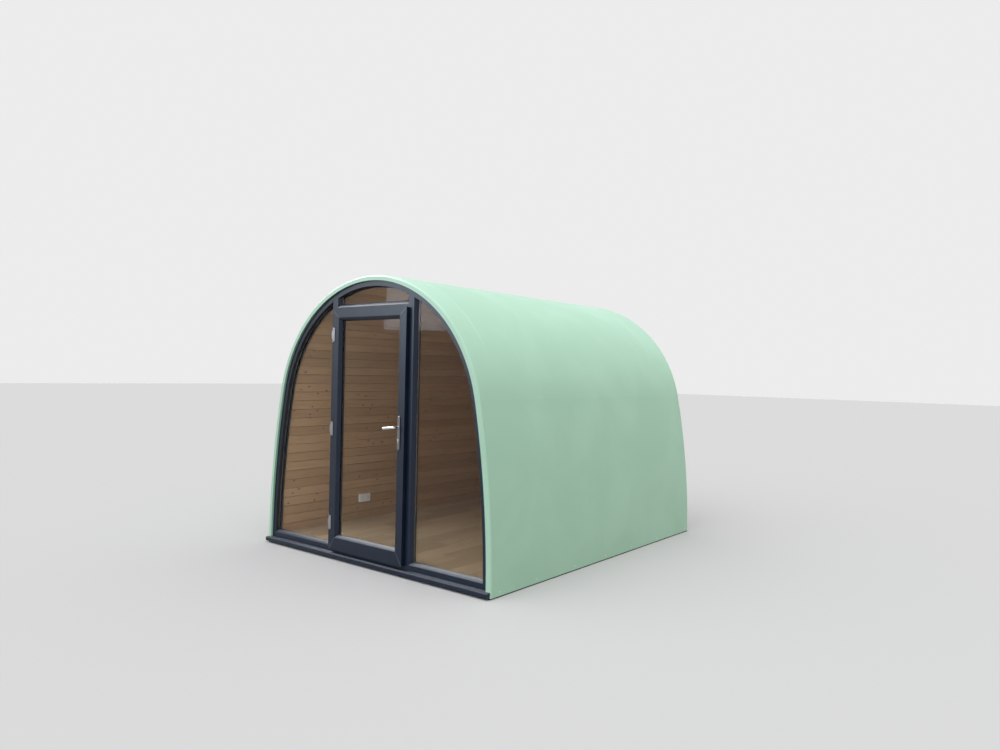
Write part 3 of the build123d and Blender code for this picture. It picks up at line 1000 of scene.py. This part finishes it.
@dataclass
class GlazedUnit:
    """Glazing of one bay: its bead, a black sheet of painted shade on the bead's arched side, and the sealed
    unit with two panes, spacer bar and gaskets.
    """

    arch: ArchForm
    name: str
    form: BayForm
    body: str
    clearance: float = 0.003
    pane: float = 0.004
    spacer_face: float = 0.007
    spacer_gap: Span = (0.028, 0.003)
    bead_width: Span = (0.033, 0.007)
    lip: Span = (0.020, 0.012)
    gasket_tuck: float = 0.001
    gasket_face: float = 0.0045
    gasket_proud: float = 0.0018
    bead_edge: float = 0.002
    bead_swell: float = 0.2
    bead_steps: int = 6
    shade_sheet_start: float = 0.010
    shade_sheet_thickness: float = 0.001
    arc_steps: int = 28

    def outline(self, y: float, gap: float, arched: float) -> Outline:
        """Outline of the bay, moved inwards.

        Args:
            y: Where it stands along the pod.
            gap: How far inside the flat faces of the frame its straight sides run.
            arched: The same for its arched side.

        Returns:
            The outline, not yet closed.
        """
        low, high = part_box(f"{self.name}_bead")
        drawn = Outline(y)
        if self.form is BayForm.DOOR:
            drawn.to(low.x + gap, low.z + gap).to(high.x - gap, low.z + gap)
            return drawn.to(high.x - gap, high.z - gap).to(low.x + gap, high.z - gap)
        inset = FRAME_INSET + arched
        bottom = low.z + gap
        radius = self.arch.crown_radius - inset
        if self.form is BayForm.CROWN:
            edge = high.x - gap
            start = math.acos(edge / radius)
            drawn.to(-edge, bottom).to(edge, bottom)
            drawn.to(edge, self.arch.crown_centre + radius * math.sin(start))
            return drawn.arc(0.0, self.arch.crown_centre, math.pi - 2 * start, self.arc_steps)
        inner = min(abs(low.x), abs(high.x)) + gap
        low_angle = math.asin(bottom / (self.arch.side_radius - inset))
        top_angle = math.acos(inner / radius)
        drawn.to(inner, bottom).to(self.arch.half_width_at(bottom, inset), bottom)
        drawn.arc(-self.arch.side_centre, 0.0, self.arch.spring - low_angle, self.arc_steps)
        drawn.arc(0.0, self.arch.crown_centre, top_angle - self.arch.spring, self.arc_steps)
        return drawn if high.x > 0 else drawn.mirrored()

    def build(self, finishes: Finishes) -> None:
        """Make the bead, the black sheet of painted shade along the arch, the panes, the spacer bar and the
        two gaskets.

        Args:
            finishes: The pod's finishes.
        """
        front, back = (corner.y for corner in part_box(f"{self.name}_glass"))
        self.rounded_bead(finishes)
        if self.form is not BayForm.DOOR:
            # painted shade: a thin black sheet over the arched bead's face, where the bead lies in shadow
            self.arch_shade_sheet(finishes)
        self.panes(finishes, front, back)
        cavity = back - front - 2 * self.pane
        spacer = self.outline(front + self.pane, *self.spacer_gap).sheet(cavity, self.spacer_face)
        finished(f"{self.name}_spacer_bar", spacer, finishes.spacer, self.body, Slot.HINGE)
        sides = (
            ("outside", front - self.gasket_proud, self.bead_width),
            ("inside", back, self.lip),
        )
        for side, y, seat in sides:
            drawn = self.outline(y, seat[0] - self.gasket_tuck, seat[1] - self.gasket_tuck)
            strip = drawn.sheet(self.gasket_proud, self.gasket_face)
            finished(f"{self.name}_{side}_gasket", strip, finishes.rubber_and_shade, self.body, Slot.GASKET)

    def rounded_bead(self, finishes: Finishes) -> None:
        """Make the bead with its sloping face gently rounded, in the place of its CAD form.

        Args:
            finishes: The pod's finishes.
        """
        low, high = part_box(f"{self.name}_bead")
        rails = [self.outline(high.y, 0.0, 0.0).points(), self.outline(low.y, 0.0, 0.0).points()]
        for step in range(self.bead_steps + 1):
            rails.append(self.outline(*self.slope(step / self.bead_steps)).points())
        name = f"{self.name}_rounded_bead"
        work = skinned(rails, closed=True)
        finished(name, work, finishes.frame, self.body, Slot.FRAME, f"{self.name}_bead")

    def slope(self, part: float) -> tuple[float, float, float]:
        """Line along the bead's sloping face.

        Args:
            part: Share of the way from the face of the frame to the glass.

        Returns:
            Its place along the pod, and its gaps on the straight and arched sides.
        """
        low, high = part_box(f"{self.name}_bead")
        across = part + self.bead_swell * (math.sin(part * math.pi / 2) - part)
        deep = part + self.bead_swell * (1.0 - math.cos(part * math.pi / 2) - part)
        gap, arched = (self.bead_edge + (width - self.bead_edge) * across for width in self.bead_width)
        return low.y + (high.y - low.y) * deep, gap, arched

    def arch_shade_sheet(self, finishes: Finishes) -> None:
        """Make the thin black sheet that lines the bead's face on the arched side from the face of the frame
        to the glass, as painted shade.

        Args:
            finishes: The pod's finishes.
        """
        first = 2 if self.form is BayForm.CROWN else 1
        outer, inner = [], []
        for step in range(self.bead_steps + 1):
            y, _, arched = self.slope(step / self.bead_steps)
            outer.append(self.outline(y, self.shade_sheet_start, arched + self.shade_sheet_thickness).points()[first:])
            inner.append(self.outline(y, self.shade_sheet_start, arched).points()[first:])
        work = skinned(outer + inner[::-1], closed=False)
        finished(f"{self.name}_arch_shade_sheet", work, finishes.rubber_and_shade, self.body, Slot.GASKET)

    def panes(self, finishes: Finishes, front: float, back: float) -> None:
        """Make the two panes as one piece.

        Args:
            finishes: The pod's finishes.
            front: Outside face of the unit.
            back: Room face of the unit.
        """
        gap = self.clearance
        work = self.outline(front, gap, gap).sheet(self.pane)
        inner = self.outline(back - self.pane, gap, gap).sheet(self.pane)
        held = bpy.data.meshes.new("inner_pane")
        inner.to_mesh(held)
        inner.free()
        work.from_mesh(held)
        bpy.data.meshes.remove(held)
        finished(f"{self.name}_panes", work, finishes.glass, self.body, Slot.GLASS, f"{self.name}_glass")


def tone_of(index: int, run: BoardRun) -> float:
    """Steady value from 0 to 1 for a board, spread well from one board to the next.

    Args:
        index: Number of the board.
        run: Run of boards that it is in.

    Returns:
        The value.
    """
    golden = (math.sqrt(5.0) - 1.0) / 2.0
    wall_step, sway, sway_pace = 0.37, 0.21, 5.1
    swayed = sway * math.sin(sway_pace * index + run.value)
    return (index * golden + run.value * wall_step + swayed) % 1.0


@dataclass
class BoardLining:
    """Tongued and grooved pine boards on the walls, the ceiling and the rear wall."""

    arch: ArchForm
    groove: float = 0.0042
    joint: float = 0.0015
    end_gap: float = 0.0015

    def board(
        self, work: bmesh.types.BMesh, length: float, cover: float, place: Matrix, tone: float
    ) -> list[bmesh.types.BMFace]:
        """Add one board whose room face is at X 0 and whose length runs along Y.

        Args:
            work: Mesh that it is added to.
            length: Length of the board.
            cover: Width that it covers.
            place: Where it goes.
            tone: Value that its grain and tone follow.

        Returns:
            The board's faces.
        """
        layer = work.faces.layers.float.get("board") or work.faces.layers.float.new("board")
        old = set(work.faces)
        shape = Matrix.Translation((LINING_THICKNESS / 2, 0.0, 0.0))
        size = (LINING_THICKNESS, length, cover - self.joint)
        corners = cuboid(work, size, shape)
        room = [vert for vert in corners if vert.co.x < LINING_THICKNESS / 4]
        long_edges = {
            edge for vert in room for edge in vert.link_edges
            if edge.other_vert(vert) in room and abs(edge.verts[0].co.z - edge.verts[1].co.z) < self.joint
        }
        soften(work, long_edges, self.groove)
        faces = [face for face in work.faces if face not in old]
        for face in faces:
            face[layer] = tone
        verts = list({vert for face in faces for vert in face.verts})
        bmesh.ops.transform(work, matrix=place, verts=verts)
        return faces

    def along_arc(self, centre: Place, radius: float, angles: Span, run: BoardRun) -> bmesh.types.BMesh:
        """Boards side by side along an arc, each running the length of the room.

        Args:
            centre: Place of the arc's centre across the pod, and its height.
            radius: Radius of the room face.
            angles: Angles at which the first board starts and the last one ends.
            run: Run of boards that they are.

        Returns:
            The boards' mesh.
        """
        low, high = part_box("ceiling_lining")
        start, end = angles
        count = round(radius * abs(end - start) / BOARD_COVER)
        step = (end - start) / count
        cover = 2 * radius * math.sin(abs(step) / 2)
        work = bmesh.new()
        for index in range(count):
            angle = start + (index + 0.5) * step
            depth = radius * math.cos(step / 2)
            x = centre[0] + depth * math.cos(angle)
            z = centre[1] + depth * math.sin(angle)
            turn = Matrix.Rotation(-angle, 4, "Y")
            place = Matrix.Translation((x, (low.y + high.y) / 2, z)) @ turn
            self.board(work, high.y - low.y - 2 * self.end_gap, cover, place, tone_of(index, run))
        return work

    def build(self, finishes: Finishes) -> None:
        """Make the boards of both walls, the ceiling and the rear wall.

        Args:
            finishes: The pod's finishes.
        """
        arch = self.arch
        side = arch.side_radius - LINING_INSET
        foot = math.asin(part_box("right_wall_lining")[0].z / side)
        wood = finishes.wall_boards
        angles = (foot, arch.spring)
        right = self.along_arc((-arch.side_centre, 0.0), side, angles, BoardRun.RIGHT_WALL)
        finished("right_wall_boards", right, wood, "root", Slot.PINE, "right_wall_lining")
        angles = (math.pi - foot, math.pi - arch.spring)
        left = self.along_arc((arch.side_centre, 0.0), side, angles, BoardRun.LEFT_WALL)
        finished("left_wall_boards", left, wood, "root", Slot.PINE, "left_wall_lining")
        crown = arch.crown_radius - LINING_INSET
        angles = (arch.spring, math.pi - arch.spring)
        top = self.along_arc((0.0, arch.crown_centre), crown, angles, BoardRun.CEILING)
        finished("ceiling_boards", top, wood, "root", Slot.PINE, "ceiling_lining")
        rear = self.rear_boards()
        finished("rear_wall_boards", rear, finishes.rear_boards, "root", Slot.PINE, "rear_wall_lining")

    def rear_boards(self) -> bmesh.types.BMesh:
        """Level boards on the rear wall, cut to the arch at both ends."""
        low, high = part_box("rear_wall_lining")
        count = round((high.z - low.z) / BOARD_COVER)
        cover = (high.z - low.z) / count
        inset = LINING_INSET - LINING_THICKNESS
        work = bmesh.new()
        quarter = Matrix.Rotation(math.radians(90), 4, "Z")
        for index in range(count):
            bottom = low.z + index * cover
            middle = bottom + cover / 2
            half = self.arch.half_width_at(bottom, inset)
            place = Matrix.Translation((0.0, low.y, middle)) @ quarter
            faces = self.board(work, 2 * half, cover, place, tone_of(index, BoardRun.REAR_WALL))
            self.trim(work, faces, middle, inset)
        return work

    def trim(
        self, work: bmesh.types.BMesh, faces: list[bmesh.types.BMFace], level: float, inset: float
    ) -> None:
        """Cut both ends of a level board along the arch.

        Args:
            work: Mesh that holds the board.
            faces: Faces of the board.
            level: Height of the board's middle.
            inset: Inset of the arch that it is cut to.
        """
        lean = self.arch.lean_at(level, inset)
        reach = self.arch.half_width_at(level, inset) - self.end_gap
        for side in (-1.0, 1.0):
            faces = [face for face in faces if face.is_valid]
            geometry = set(faces)
            for face in faces:
                geometry.update(face.edges)
                geometry.update(face.verts)
            cut = bmesh.ops.bisect_plane(
                work,
                geom=list(geometry),
                plane_co=(side * reach, 0.0, level),
                plane_no=(side * math.cos(lean), 0.0, math.sin(lean)),
                clear_outer=True,
            )
            rim = [item for item in cut["geom_cut"] if isinstance(item, bmesh.types.BMEdge)]
            filled = bmesh.ops.holes_fill(work, edges=rim, sides=0)
            faces = [item for item in cut["geom"] if isinstance(item, bmesh.types.BMFace) and item.is_valid]
            faces += filled["faces"]


@dataclass
class RoomFloor:
    """Floor of long planks laid along the room, with staggered end joints."""

    arch: ArchForm
    plank_width: float = 0.192
    plank_length: float = 1.285
    stagger: float = 0.37
    shortest: float = 0.1
    joint: float = 0.0005
    arris: float = 0.0009
    edge_gap: float = 0.001

    def build(self, finishes: Finishes) -> None:
        """Make the planks.

        Args:
            finishes: The pod's finishes.
        """
        low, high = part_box("floor_boards")
        half = self.arch.half_width_at(high.z, LINING_INSET) - self.edge_gap
        columns = math.ceil(2 * half / self.plank_width)
        work = bmesh.new()
        layer = work.faces.layers.float.new("board")
        number = 0
        for column in range(columns):
            left = -half + column * self.plank_width
            right = min(left + self.plank_width, half)
            cut = low.y + self.plank_length * ((column * self.stagger) % 1.0)
            edge = low.y
            while edge < high.y - self.edge_gap:
                end = cut if cut > edge + self.shortest else edge + self.plank_length
                end = high.y if high.y - end < self.shortest else end
                edges = (left, right, edge, end, low.z, high.z)
                self.plank(work, layer, edges, tone_of(number, BoardRun.FLOOR))
                edge = end
                cut = end + self.plank_length
                number += 1
        finished("floor_planks", work, finishes.floor, "root", Slot.FLOOR, "floor_boards")
        dress(finishes.plywood, "floor_deck")
        dress(finishes.membrane, "floor_cassette", "base_sheet")

    def plank(
        self, work: bmesh.types.BMesh, layer: bmesh.types.BMLayerItem, edges: Sequence[float], tone: float
    ) -> None:
        """Add one plank with an eased top edge.

        Args:
            work: Mesh that it is added to.
            layer: Layer that keeps the plank's value.
            edges: Its left, right, front, back, bottom and top.
            tone: Value that its grain and tone follow.
        """
        left, right, front, back, bottom, top = edges
        old = set(work.faces)
        middle = Vector(((left + right) / 2, (front + back) / 2, (bottom + top) / 2))
        size = (right - left - self.joint, back - front - self.joint, top - bottom)
        corners = cuboid(work, size, Matrix.Translation(middle))
        upper = [vert for vert in corners if vert.co.z > middle.z]
        rim = {edge for vert in upper for edge in vert.link_edges if edge.other_vert(vert) in upper}
        soften(work, rim, self.arris)
        for face in work.faces:
            if face not in old:
                face[layer] = tone


@dataclass
class PodShell:
    """Moulded shell, rear wall skin and cores, with the screw caps along the shell's foot."""

    arch: ArchForm
    cap_radius: float = 0.0075
    cap_depth: float = 0.004
    cap_level: float = 0.042
    cap_edge: float = 0.0006
    cap_places: tuple[float, ...] = (-1.591, -1.113, -0.558, -0.045, 0.433, 0.965, 1.625)

    def build(self, finishes: Finishes) -> None:
        """Dress the shell and add its screw caps.

        Args:
            finishes: The pod's finishes.
        """
        dress(finishes.shell, "outer_shell", "rear_wall_skin")
        cores = [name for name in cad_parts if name.endswith("_core")]
        dress(finishes.core, *cores)
        work = bmesh.new()
        for side in (-1.0, 1.0):
            for place in self.cap_places:
                centre = (side * (self.arch.half_width - self.cap_depth / 2), place, self.cap_level)
                turn = Matrix.Rotation(side * math.radians(90), 4, "Y")
                seat = Matrix.Translation(centre) @ turn
                disc(work, self.cap_radius, self.cap_depth, seat, self.cap_edge)
        finished("shell_screw_caps", work, finishes.cap, "root", Slot.SOCKET)


@dataclass
class RoundedSill:
    """Sill with a rounded nose and soft-lipped grooves, in the place of its sharp-edged CAD form."""

    fall: float = 0.008
    nose_radius: float = 0.0045
    foot_radius: float = 0.0015
    grooves: int = 3
    groove_form: tuple[Place, ...] = (
        (-0.0034, 0.0),
        (-0.0024, -0.0003),
        (-0.0014, -0.0014),
        (0.0, -0.0018),
        (0.0014, -0.0014),
        (0.0024, -0.0003),
        (0.0034, 0.0),
    )
    arc_steps: int = 6

    def rounding(self, centre: Place, radius: float, start: float, end: float) -> list[Place]:
        """Points of a rounded edge of the section.

        Args:
            centre: Centre of the rounding, along the pod and up.
            radius: Radius of the rounding.
            start: Angle at its start, from the back over the top.
            end: Angle at its end.

        Returns:
            Its points.
        """
        turns = [start + (end - start) * step / self.arc_steps for step in range(self.arc_steps + 1)]
        return [(centre[0] + radius * math.cos(turn), centre[1] + radius * math.sin(turn)) for turn in turns]

    def section(self, low: Vector, high: Vector) -> list[Place]:
        """Points of the sill's section, from its foot over the nose to the frame.

        Args:
            low: Lowest corner of the CAD sill's box.
            high: Highest corner of it.

        Returns:
            The points, along the pod and up.
        """
        slope = math.atan2(self.fall, high.y - low.y)
        foot = (low.y + self.foot_radius, low.z + self.foot_radius)
        nose = (low.y + self.nose_radius, high.z - self.fall - self.nose_radius)
        points = [(high.y, low.z)]
        points += self.rounding(foot, self.foot_radius, math.radians(270), math.radians(180))
        points += self.rounding(nose, self.nose_radius, math.radians(180), math.radians(90) + slope)
        lead = points[-1]
        rise = (high.z - lead[1]) / (high.y - lead[0])
        for index in range(1, self.grooves + 1):
            middle = low.y + index * (high.y - low.y) / (self.grooves + 1)
            for along, drop in self.groove_form:
                y = middle + along
                points.append((y, lead[1] + rise * (y - lead[0]) + drop))
        return [*points, (high.y, high.z)]

    def build(self, finishes: Finishes) -> None:
        """Make the sill.

        Args:
            finishes: The pod's finishes.
        """
        low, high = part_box("sill")
        work = bmesh.new()
        face = work.faces.new([work.verts.new((low.x, y, z)) for y, z in self.section(low, high)])
        made = bmesh.ops.extrude_face_region(work, geom=[face])
        moved = [item for item in made["geom"] if isinstance(item, bmesh.types.BMVert)]
        bmesh.ops.translate(work, verts=moved, vec=(high.x - low.x, 0.0, 0.0))
        finished("rounded_sill", work, finishes.frame, "root", Slot.FRAME, "sill")


@dataclass
class FixedFrame:
    """Fixed frame of the glazed front and its sill."""

    arch: ArchForm

    def build(self, finishes: Finishes) -> None:
        """Dress the frame's members and the sill's end caps, make the sill and glaze the three bays.

        Args:
            finishes: The pod's finishes.
        """
        dress(finishes.frame, "frame_bottom_rail", "left_mullion", "right_mullion", "transom")
        dress(finishes.frame, "frame_left_jamb", "frame_right_jamb", "frame_head")
        dress(finishes.frame, "sill_end_caps")
        dress(finishes.silver, "hinge_frame_halves")
        RoundedSill().build(finishes)
        GlazedUnit(self.arch, "left", BayForm.SIDE, "root").build(finishes)
        GlazedUnit(self.arch, "right", BayForm.SIDE, "root").build(finishes)
        GlazedUnit(self.arch, "fanlight", BayForm.CROWN, "root").build(finishes)


@dataclass
class DoorLeaf:
    """Door leaf: mitred stiles and rails, glass, hinges, back plates, levers and lock."""

    arch: ArchForm
    weld_width: float = 0.0024
    weld_proud: float = 0.0003
    weld_edge: float = 0.00024
    plug_radius: float = 0.0062
    plug_proud: float = 0.0006
    plug_edge: float = 0.0002
    keyway: Point = (0.0014, 0.0003, 0.0075)

    def build(self, finishes: Finishes) -> None:
        """Dress the leaf, glaze it and add its weld lines and key plug.

        Args:
            finishes: The pod's finishes.
        """
        dress(finishes.frame, "door_left_stile", "door_right_stile", "door_top_rail", "door_bottom_rail")
        dress(finishes.rubber_and_shade, "door_gasket")
        dress(finishes.silver, "hinge_leaf_halves")
        dress(finishes.plate, "outside_handle_plate", "inside_handle_plate")
        dress(finishes.steel, "outside_lever", "inside_lever", "lock_cylinder")
        GlazedUnit(self.arch, "door", BayForm.DOOR, "door").build(finishes)
        self.weld_lines(finishes)
        self.key_plug(finishes)

    def weld_lines(self, finishes: Finishes) -> None:
        """Make the fine welds on the four mitred corners.

        Args:
            finishes: The pod's finishes.
        """
        leaf_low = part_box("door_bottom_rail")[0]
        leaf_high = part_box("door_top_rail")[1]
        bead_low, bead_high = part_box("door_bead")
        work = bmesh.new()
        for side in (-1.0, 1.0):
            outer_x = side * leaf_high.x
            inner_x = side * bead_high.x
            for outer_z, inner_z in ((leaf_low.z, bead_low.z), (leaf_high.z, bead_high.z)):
                run = Vector((inner_x - outer_x, 0.0, inner_z - outer_z))
                middle = Vector(((inner_x + outer_x) / 2, leaf_low.y, (inner_z + outer_z) / 2))
                turn = Matrix.Rotation(-math.atan2(run.z, run.x), 4, "Y")
                size = (run.length - 2 * self.weld_width, 2 * self.weld_proud, self.weld_width)
                cuboid(work, size, Matrix.Translation(middle) @ turn, self.weld_edge)
        finished("door_mitre_welds", work, finishes.weld, "door", Slot.FRAME)

    def key_plug(self, finishes: Finishes) -> None:
        """Make the turning plug of the lock on both faces, with its keyway as a thin black block of painted
        shade.

        Args:
            finishes: The pod's finishes.
        """
        low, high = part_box("lock_cylinder")
        centre_x = (low.x + high.x) / 2
        barrel = high.z - (high.x - low.x) / 2
        plugs = bmesh.new()
        slits = bmesh.new()
        for face_y, way in ((low.y, -1.0), (high.y, 1.0)):
            turn = Matrix.Rotation(-way * math.radians(90), 4, "X")
            place = Matrix.Translation((centre_x, face_y + way * self.plug_proud / 2, barrel)) @ turn
            disc(plugs, self.plug_radius, self.plug_proud, place, self.plug_edge)
            # painted shade: the keyway is a thin black block, not a cut slot
            slit = Matrix.Translation((centre_x, face_y + way * self.plug_proud, barrel))
            cuboid(slits, self.keyway, slit)
        finished("lock_plugs", plugs, finishes.steel, "door", Slot.HANDLE)
        finished("lock_keyway_shade", slits, finishes.shadow, "door", Slot.GASKET)


@dataclass
class DoubleSocket:
    """Double wall socket on the left wall: box, cover, two rockers, pin holes drawn as black blocks of
    painted shade, and screws.
    """

    arch: ArchForm
    length: float = 0.146
    height: float = 0.086
    depth: float = 0.028
    cover: float = 0.0085
    cover_edge: float = 0.0025
    box_margin: float = 0.004
    box_edge: float = 0.002
    rocker: Point = (0.004, 0.0095, 0.0165)
    rocker_place: Point = (0.0005, 0.0095, 0.02064)
    rocker_edge: float = 0.0008
    rocker_tilt: float = math.radians(5)
    outlet_place: float = 0.0355
    earth_hole: Place = (0.0045, 0.0085)
    earth_level: float = 0.012
    live_hole: Place = (0.0070, 0.0045)
    live_level: float = -0.0105
    live_place: float = 0.011
    hole_depth: float = 0.0004
    screw_radius: float = 0.0032
    screw_depth: float = 0.0010
    screw_edge: float = 0.0003
    screw_proud: float = 0.0002
    screw_place: float = 0.0603

    @property
    def seat(self) -> Matrix:
        """Place of the socket: X out of the wall, Y along it and Z up it."""
        low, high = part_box("wall_socket")
        centre = (low + high) / 2
        lean = math.asin(centre.z / (self.arch.side_radius - LINING_INSET))
        return Matrix.Translation(centre) @ Matrix.Rotation(lean, 4, "Y")

    def on_face(self, out: float, along: float, up: float) -> Matrix:
        """Place on the cover's face.

        Args:
            out: Distance in front of the cover.
            along: Distance along the wall from the middle.
            up: Distance above the middle.

        Returns:
            The place's matrix.
        """
        return self.seat @ Matrix.Translation((self.depth / 2 + out, along, up))

    def build(self, finishes: Finishes) -> None:
        """Make the socket's box and cover, rockers, screws and pin holes.

        Args:
            finishes: The pod's finishes.
        """
        work = bmesh.new()
        back = self.depth - self.cover
        box_size = (back, self.length - self.box_margin, self.height - self.box_margin)
        box_place = self.seat @ Matrix.Translation((-self.cover / 2, 0.0, 0.0))
        cuboid(work, box_size, box_place, self.box_edge, 2)
        cover_place = self.on_face(-self.cover / 2, 0.0, 0.0)
        cuboid(work, (self.cover, self.length, self.height), cover_place, self.cover_edge, 3)
        tilt = Matrix.Rotation(self.rocker_tilt, 4, "Y")
        out, along, up = self.rocker_place
        for side in (-1.0, 1.0):
            cuboid(work, self.rocker, self.on_face(out, side * along, up) @ tilt, self.rocker_edge, 2)
        finished("double_socket", work, finishes.plastic, "root", Slot.SOCKET, "wall_socket")
        self.pin_holes(finishes)
        self.screws(finishes)

    def pin_holes(self, finishes: Finishes) -> None:
        """Make the three pin holes of each outlet as thin black blocks of painted shade on the cover.

        Args:
            finishes: The pod's finishes.
        """
        work = bmesh.new()
        for side in (-1.0, 1.0):
            middle = side * self.outlet_place
            cuboid(work, (self.hole_depth, *self.earth_hole), self.on_face(0.0, middle, self.earth_level))
            for pin in (-self.live_place, self.live_place):
                place = self.on_face(0.0, middle + pin, self.live_level)
                cuboid(work, (self.hole_depth, *self.live_hole), place)
        finished("socket_pin_hole_shade", work, finishes.shadow, "root", Slot.GASKET)

    def screws(self, finishes: Finishes) -> None:
        """Make the two screws that hold the cover.

        Args:
            finishes: The pod's finishes.
        """
        work = bmesh.new()
        turn = Matrix.Rotation(math.radians(90), 4, "Y")
        for side in (-1.0, 1.0):
            place = self.on_face(self.screw_proud, side * self.screw_place, 0.0) @ turn
            disc(work, self.screw_radius, self.screw_depth, place, self.screw_edge)
        finished("socket_screws", work, finishes.silver, "root", Slot.HINGE)


@dataclass(frozen=True)
class Softbox:
    """Large soft lamp that shows in gloss alone, on metal, coats and glass."""

    name: str
    place: Point
    aim: Point
    width: float
    height: float
    power: float
    colour: Colour

    def hang(self) -> None:
        """Hang the softbox, turned to its aim."""
        lamp = bpy.data.lights.new(self.name, "AREA")
        lamp.shape = "RECTANGLE"
        lamp.size = self.width
        lamp.size_y = self.height
        lamp.energy = self.power
        lamp.color = self.colour
        holder = bpy.data.objects.new(self.name, lamp)
        holder.location = self.place
        aim = Vector(self.aim) - Vector(self.place)
        holder.rotation_euler = aim.to_track_quat("-Z", "Y").to_euler()
        holder.visible_camera = False
        holder.visible_diffuse = False
        holder.visible_transmission = False
        bpy.context.scene.collection.objects.link(holder)


@dataclass
class Studio:
    """Pale floor, plain soft light and the camera at the photograph's angle."""

    floor_reach: float = 60.0
    floor_colour: Colour = (0.50, 0.47, 0.425)
    floor_bounce: Colour = (0.06, 0.06, 0.053)
    backdrop: float = 0.84
    near_light: float = 2.5
    light_fall: float = 2.45
    light_from: Point = (0.07, -0.44, 0.895)
    far_tint: Colour = (1.0, 0.94, 0.62)
    near_tint: Colour = (0.92, 1.0, 1.18)
    softboxes: tuple[Softbox, ...] = (
        Softbox(
            name="left_softbox",
            place=(-5.6, -3.4, 7.6),
            aim=(0.0, -1.7, 1.2),
            width=5.6,
            height=5.6,
            power=1250.0,
            colour=(1.0, 1.0, 1.0),
        ),
        Softbox(
            name="front_softbox",
            place=(-7.69, -12.82, 6.68),
            aim=(0.0, -1.7, 6.68),
            width=5.9,
            height=7.84,
            power=1650.0,
            colour=(0.78, 0.88, 1.0),
        ),
    )
    camera_place: Point = (4.898, -6.035, 1.6975)
    camera_yaw: float = math.radians(-38.601)
    camera_pitch: float = math.radians(-0.246)
    camera_roll: float = math.radians(1.284)
    sensor_width: float = 36.0
    frame_width: float = 1000.0
    focal_pixels: float = 752.69

    def build(self) -> None:
        """Set up the floor, the light and the camera."""
        self.floor()
        self.world()
        for softbox in self.softboxes:
            softbox.hang()
        self.camera()
        bpy.context.scene.view_settings.view_transform = "Standard"

    def floor(self) -> None:
        """Lay the pale floor."""
        work = bmesh.new()
        bmesh.ops.create_grid(work, x_segments=1, y_segments=1, size=self.floor_reach)
        mesh = bpy.data.meshes.new("studio_floor")
        work.to_mesh(mesh)
        work.free()
        tree = MaterialTree("studio_floor")
        colour = tree.blend(self.seen(tree), self.floor_bounce, self.floor_colour)
        tree.surface("ShaderNodeBsdfDiffuse", Color=colour)
        mesh.materials.append(tree.material)
        floor = bpy.data.objects.new("studio_floor", mesh)
        bpy.context.scene.collection.objects.link(floor)

    @staticmethod
    def seen(tree: NodeTree) -> Output:
        """Rays that show the pale studio: those of the camera, and those that gloss and glass send on.

        Args:
            tree: Node tree of the floor or the world.

        Returns:
            Output that is 1 on such a ray and 0 on one that only carries light.
        """
        rays = tree.nodes.new("ShaderNodeLightPath")
        value = rays.outputs["Is Camera Ray"]
        for name in ("Is Glossy Ray", "Is Transmission Ray"):
            value = tree.reckon("MAXIMUM", value, rays.outputs[name])
        return value

    @staticmethod
    def background(tree: NodeTree, colour: Feed, strength: Feed) -> Output:
        """Light that comes from all round.

        Args:
            tree: Node tree of the world.
            colour: Its colour, or an output of it.
            strength: Its strength, or an output of it.

        Returns:
            The background's output.
        """
        node = tree.nodes.new("ShaderNodeBackground")
        tree.feed(node.inputs["Color"], colour)
        tree.feed(node.inputs["Strength"], strength)
        return node.outputs["Background"]

    def world(self) -> None:
        """Light the pod softly from above and the front, with a pale backdrop that its gloss shows too."""
        world = bpy.data.worlds.new("studio_world")
        tree = NodeTree(world, "Generated")
        facing = tree.nodes.new("ShaderNodeVectorMath")
        facing.operation = "DOT_PRODUCT"
        tree.feed(facing.inputs[0], tree.place)
        tree.feed(facing.inputs[1], self.light_from)
        share = tree.spread(facing.outputs["Value"], low=0.0, high=1.0, start=-1.0)
        strength = tree.reckon("MULTIPLY", tree.reckon("POWER", share, self.light_fall), self.near_light)
        tint = tree.blend(share, self.far_tint, self.near_tint)
        mix = tree.nodes.new("ShaderNodeMixShader")
        tree.feed(mix.inputs["Fac"], self.seen(tree))
        tree.feed(mix.inputs[1], self.background(tree, tint, strength))
        tree.feed(mix.inputs[2], self.background(tree, (1.0, 1.0, 1.0), self.backdrop))
        output = tree.nodes.new("ShaderNodeOutputWorld")
        tree.feed(output.inputs["Surface"], mix.outputs["Shader"])
        bpy.context.scene.world = world

    def camera(self) -> None:
        """Place the camera where the photograph was taken."""
        yaw, pitch, roll = self.camera_yaw, self.camera_pitch, self.camera_roll
        look = Vector((math.cos(pitch) * math.sin(yaw), math.cos(pitch) * math.cos(yaw), math.sin(pitch)))
        level = Vector((math.cos(yaw), -math.sin(yaw), 0.0))
        above = level.cross(look)
        right = math.cos(roll) * level + math.sin(roll) * above
        up = math.cos(roll) * above - math.sin(roll) * level
        turn = Matrix((right, up, -look)).transposed().to_4x4()
        lens = bpy.data.cameras.new("photo_camera")
        lens.sensor_width = self.sensor_width
        lens.lens = self.sensor_width * self.focal_pixels / self.frame_width
        holder = bpy.data.objects.new("photo_camera", lens)
        holder.matrix_world = Matrix.Translation(self.camera_place) @ turn
        bpy.context.scene.collection.objects.link(holder)
        bpy.context.scene.camera = holder


def main() -> None:
    """Build the studio and every sub-assembly of the pod."""
    logging.basicConfig(level=logging.INFO, format="%(message)s")
    arch = ArchForm.of_shell()
    finishes = Finishes()
    Studio().build()
    PodShell(arch).build(finishes)
    BoardLining(arch).build(finishes)
    RoomFloor(arch).build(finishes)
    FixedFrame(arch).build(finishes)
    DoorLeaf(arch).build(finishes)
    DoubleSocket(arch).build(finishes)


if __name__ == "__main__":
    main()
